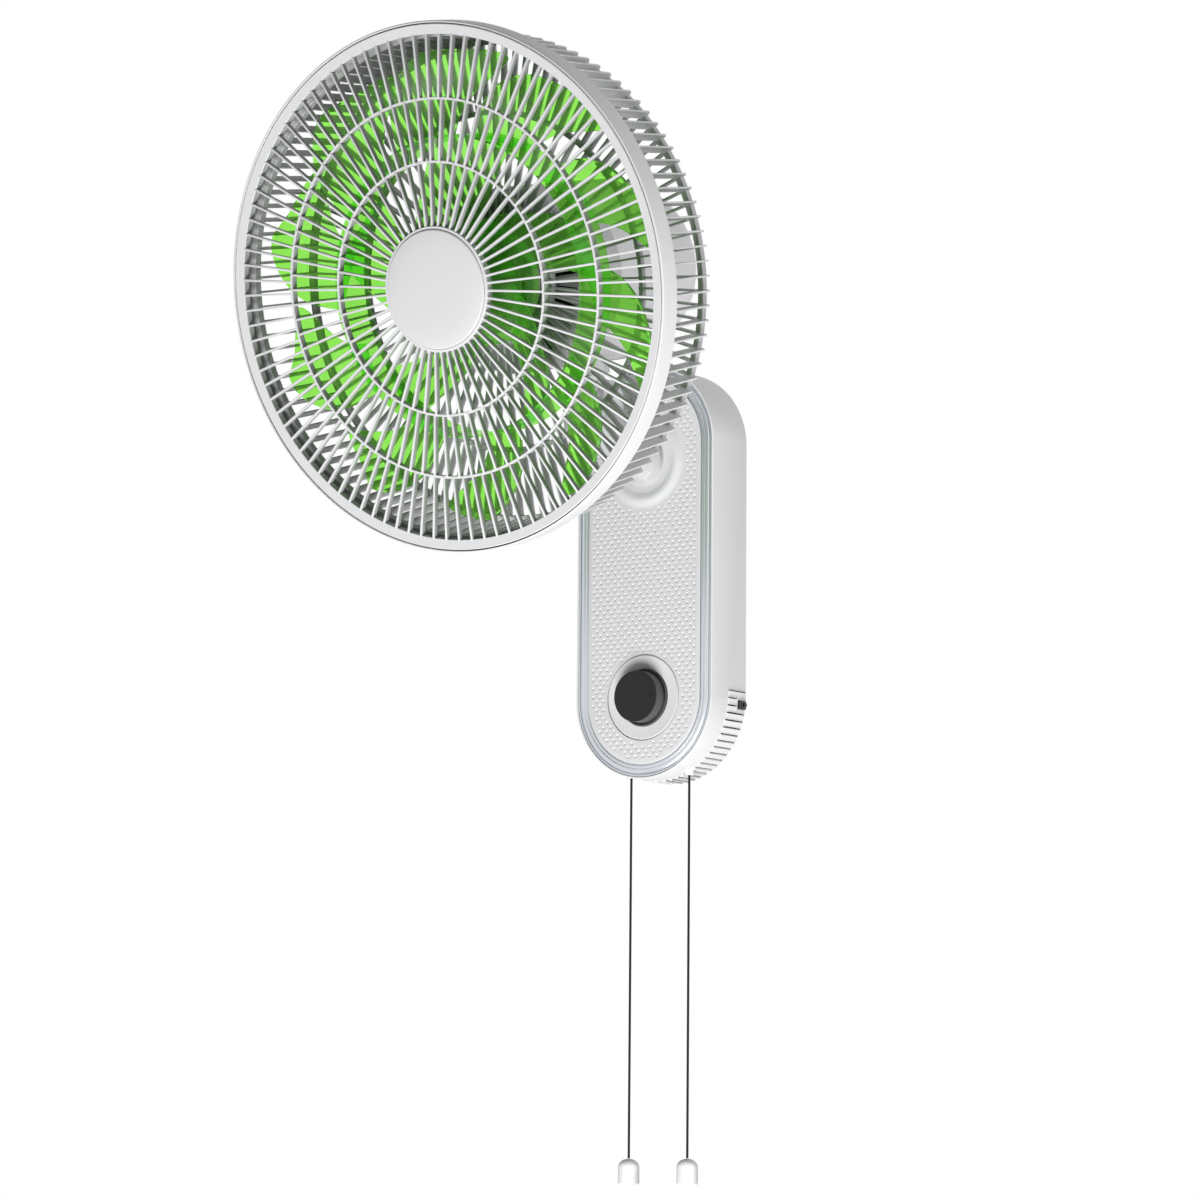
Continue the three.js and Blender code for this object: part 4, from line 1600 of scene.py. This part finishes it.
@dataclass
class FrontGrille:
    """Three rings of radial vanes between the cap and the rim."""

    shop: Workshop
    vane: float = 0.0019
    taper: float = 0.75
    depth: float = 0.0054
    cap_radius: float = 0.0521
    rings: tuple[float, float] = (0.1048, 0.1566)
    ring_width: float = 0.0022
    rim_inner: float = 0.2089
    rim_outer: float = 0.2183
    counts: tuple[int, int, int] = (54, 77, 100)
    phases: tuple[float, float, float] = (5.75, 1.1, 2.5)
    dome: tuple[Point, ...] = (
        (0.044, -0.0076), (0.052, -0.0068), (0.1048, -0.0036), (0.1566, -0.0007), (0.2089, 0.0016), (0.217, 0.0004),
    )

    def build(self) -> None:
        """Make the grille and its cap."""
        pieces = [self._hub_ring(), self._rim_ring(), *(self._ring(radius) for radius in self.rings)]
        starts = (self.cap_radius - 0.003, *self.rings)
        ends = (*self.rings, self.rim_inner + 0.001)
        for start, end, count, phase in zip(starts, ends, self.counts, self.phases):
            pieces.append(self._vanes(start, end, count, phase))
        grille = Bench.join("Front_grille", *pieces)
        self.shop.seat(grille, "head", Slot.WHITE, "front_grille", self.shop.palette.grille)
        self.shop.seat(self._cap(), "head", Slot.WHITE, "centre_cap")

    def _height(self, radius: float) -> float:
        """How far back the grille's front lies.

        Args:
            radius: Distance from the axis.

        Returns:
            The place along the axis, between two points of the dome.
        """
        for (r0, y0), (r1, y1) in zip(self.dome, self.dome[1:]):
            if radius <= r1:
                return y0 + (y1 - y0) * (radius - r0) / (r1 - r0)
        return self.dome[-1][1]

    def _vanes(self, start: float, end: float, count: int, phase: float) -> Piece:
        """One ring of vanes, rounded along their front edges.

        Args:
            start: Radius where they begin.
            end: Radius where they end.
            count: How many there are.
            phase: Angle of one of them, in degrees from the right.

        Returns:
            The ring of vanes as one piece.
        """
        near, far = self._height(start), self._height(end)
        outline = [(start, near), (end, far), (end, far + self.depth), (start, near + self.depth)]
        vane = Bench.fin(f"Vanes_{count}", outline, self.vane)
        with Bench.editing(vane, "FACE"):
            Bench.pick(vane, lambda _, n: n.y > 0.9, faces=True)
            bpy.ops.transform.resize(value=(1, 1, self.taper))
        Bench.round_edges(vane, 0.0003, 2, 60.0)
        Bench.place(vane, turn=(0, -math.radians(phase), 0))
        Bench.copies_round(vane, count)
        return vane

    def _ring(self, radius: float) -> Piece:
        """A ring that joins the vanes.

        Args:
            radius: Its middle.

        Returns:
            The ring.
        """
        front = self._height(radius) + 0.0002
        w, soft, back = self.ring_width / 2, 0.0004, front + 0.0067
        profile = [
            (radius - w, front + soft), (radius - w + soft, front), (radius + w - soft, front),
            (radius + w, front + soft), (radius + w * 0.8, back), (radius - w * 0.8, back),
        ]
        return Bench.turned("Ring", profile, 160, closed=True)

    def _hub_ring(self) -> Piece:
        """The ring behind the cap that the inner vanes grow from.

        Returns:
            The ring.
        """
        inner, outer = 0.044, self.cap_radius
        front = self._height(outer)
        profile = [
            (inner, front + 0.0002), (0.0497, front + 0.0002), (0.0499, front - 0.0008),
            (outer - 0.0005, front - 0.0008), (outer, front - 0.0003), (outer, front + 0.0067),
            (outer - 0.002, front + 0.0067), (outer - 0.002, front + 0.003), (inner, front + 0.003),
        ]
        return Bench.turned("Hub_ring", profile, 120, closed=True)

    def _rim_ring(self) -> Piece:
        """The flat face round the outer vanes.

        Returns:
            The ring.
        """
        inner, outer = self.rim_inner, self.rim_outer - 0.0011
        profile = [
            (inner, 0.0020), (inner + 0.0004, 0.0016), (outer - 0.0005, 0.0004), (outer, 0.0009), (outer, 0.0062),
            (outer - 0.0016, 0.0062), (outer - 0.0016, 0.0028), (inner + 0.0018, 0.0036), (inner + 0.0014, 0.0084),
            (inner, 0.0086),
        ]
        return Bench.turned("Rim_face", profile, 200, closed=True)

    def _cap(self) -> Piece:
        """The smooth, faintly crowned cap.

        Returns:
            The cap.
        """
        face = self.dome[0][1]
        profile = [
            (0, face - 0.0026), (0.018, face - 0.0025), (0.034, face - 0.0022), (0.0470, face - 0.0017),
            (0.0486, face - 0.0014), (0.0494, face - 0.0006), (0.0494, face + 0.0002), (0.0437, face + 0.0002),
            (0.0437, face + 0.006), (0.0415, face + 0.006), (0.0415, face + 0.0002), (0, face + 0.0002),
        ]
        return Bench.turned("Centre_cap", profile, 120)


@dataclass
class RimBand:
    """The band round the rim, with the dark seam in front and vane seats behind."""

    shop: Workshop
    radius: float = 0.220
    depth: float = 0.0203

    def build(self) -> None:
        """Make the band."""
        r, d = self.radius, self.depth
        profile = [
            (r - 0.0018, 0.0006), (r - 0.0014, 0.0001), (r - 0.0006, 0.0002), (r - 0.0001, 0.0008), (r, 0.0016),
            (r, d - 0.0005), (r - 0.0005, d), (r - 0.0032, d), (r - 0.0035, d - 0.0003), (r - 0.0035, 0.014),
            (r - 0.0095, 0.014), (r - 0.0095, 0.013), (r - 0.0035, 0.013), (r - 0.0035, 0.0072), (r - 0.0018, 0.0068),
        ]
        band = Bench.turned("Rim_band", profile, 220, closed=True)
        self.shop.seat(band, "head", Slot.WHITE, "rim_band", self.shop.palette.rim)


@dataclass
class RearGuard:
    """The rear guard: vanes along the side and over the back, joined by hoops, and its nut."""

    shop: Workshop
    vanes: int = 106
    thick: float = 0.0015
    phase: float = 1.7
    corner: float = 0.082
    back: float = 0.090
    hoops: tuple[Point, ...] = ((0.198, 0.2035), (0.1400, 0.1440), (0.0310, 0.0530))

    def build(self) -> None:
        """Make the cage in its two halves, and the nut."""
        side = Bench.join("Guard_side", self._side_vanes(), Bench.hoop(0.207, 0.2153, 0.0146, 0.0226))
        back = Bench.join(
            "Guard_back",
            self._back_vanes(self.vanes, 0.1410, 0.2084),
            self._back_vanes(self.vanes // 2, 0.0505, 0.1430),
            *(Bench.hoop(inner, outer, 0.0840, self.back) for inner, outer in self.hoops),
        )
        nut = self._nut()
        for piece, node in ((side, "rear_guard_side"), (back, "rear_guard_back"), (nut, "guard_nut")):
            self.shop.seat(piece, "head", Slot.WHITE, node, self.shop.palette.guard)

    def _side_vanes(self) -> Piece:
        """Vanes along the side, which lean in towards the back."""
        outline = [(0.2070, 0.0170), (0.2152, 0.0170), (0.2085, self.corner), (0.1998, self.corner)]
        return self._round(Bench.fin("Side_vanes", outline, self.thick), self.vanes)

    def _back_vanes(self, count: int, start: float, end: float) -> Piece:
        """Vanes over the back, with a rounded outer corner where they end the cage.

        Args:
            count: How many there are.
            start: Radius where they begin.
            end: Radius where they end.

        Returns:
            The vanes.
        """
        front, back = self.corner, self.back
        corner = [(end, back)]
        if end > 0.2:
            corner = [
                (end - 0.0002, back - 0.004), (end - 0.0009, back - 0.0017), (end - 0.0022, back - 0.0005),
                (end - 0.0040, back),
            ]
        outline = [(start, front), (end, front), *corner, (start, back)]
        return self._round(Bench.fin(f"Back_vanes_{count}", outline, self.thick), count)

    def _round(self, vane: Piece, count: int) -> Piece:
        """Round a vane's long edges, turn it to its place and copy it round.

        Args:
            vane: The vane.
            count: How many there are to be.

        Returns:
            The vanes as one piece.
        """
        Bench.round_edges(vane, 0.0002, 1, 60.0)
        Bench.place(vane, turn=(0, -math.radians(self.phase), 0))
        Bench.copies_round(vane, count)
        return vane

    @staticmethod
    def _nut() -> Piece:
        """The plastic nut that holds the rear guard on the motor's boss.

        Returns:
            The nut.
        """
        profile = [(0.0308, 0.0737), (0.0415, 0.0737), (0.0430, 0.0752), (0.0430, 0.0817), (0.0308, 0.0817)]
        nut = Bench.turned("Guard_nut", profile, 72, closed=True)
        Bench.knurl(nut, 24, 0.0016, (0.0440, 0.072, 0), (0.0440, 0.083, 0))
        return nut


def main() -> None:
    """Build the studio and every sub-assembly in turn."""
    logging.basicConfig(level=logging.INFO, format="%(name)s: %(message)s")
    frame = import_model()
    Studio().build()
    spin = next(joint for joint in frame["joints"] if joint["name"] == "blade_spin")
    seat = HeadSeat.from_spin(spin, ahead=0.043)
    shop = Workshop(frame, Palette(seat), seat)
    PullCord(shop, "left", -CORD_X).build()
    PullCord(shop, "right", CORD_X).build()
    BaseHousing(shop).build()
    Neck(shop).build()
    MotorHousing(shop).build()
    Impeller(shop).build()
    FrontGrille(shop).build()
    RimBand(shop).build()
    RearGuard(shop).build()


if __name__ == "__main__":
    main()
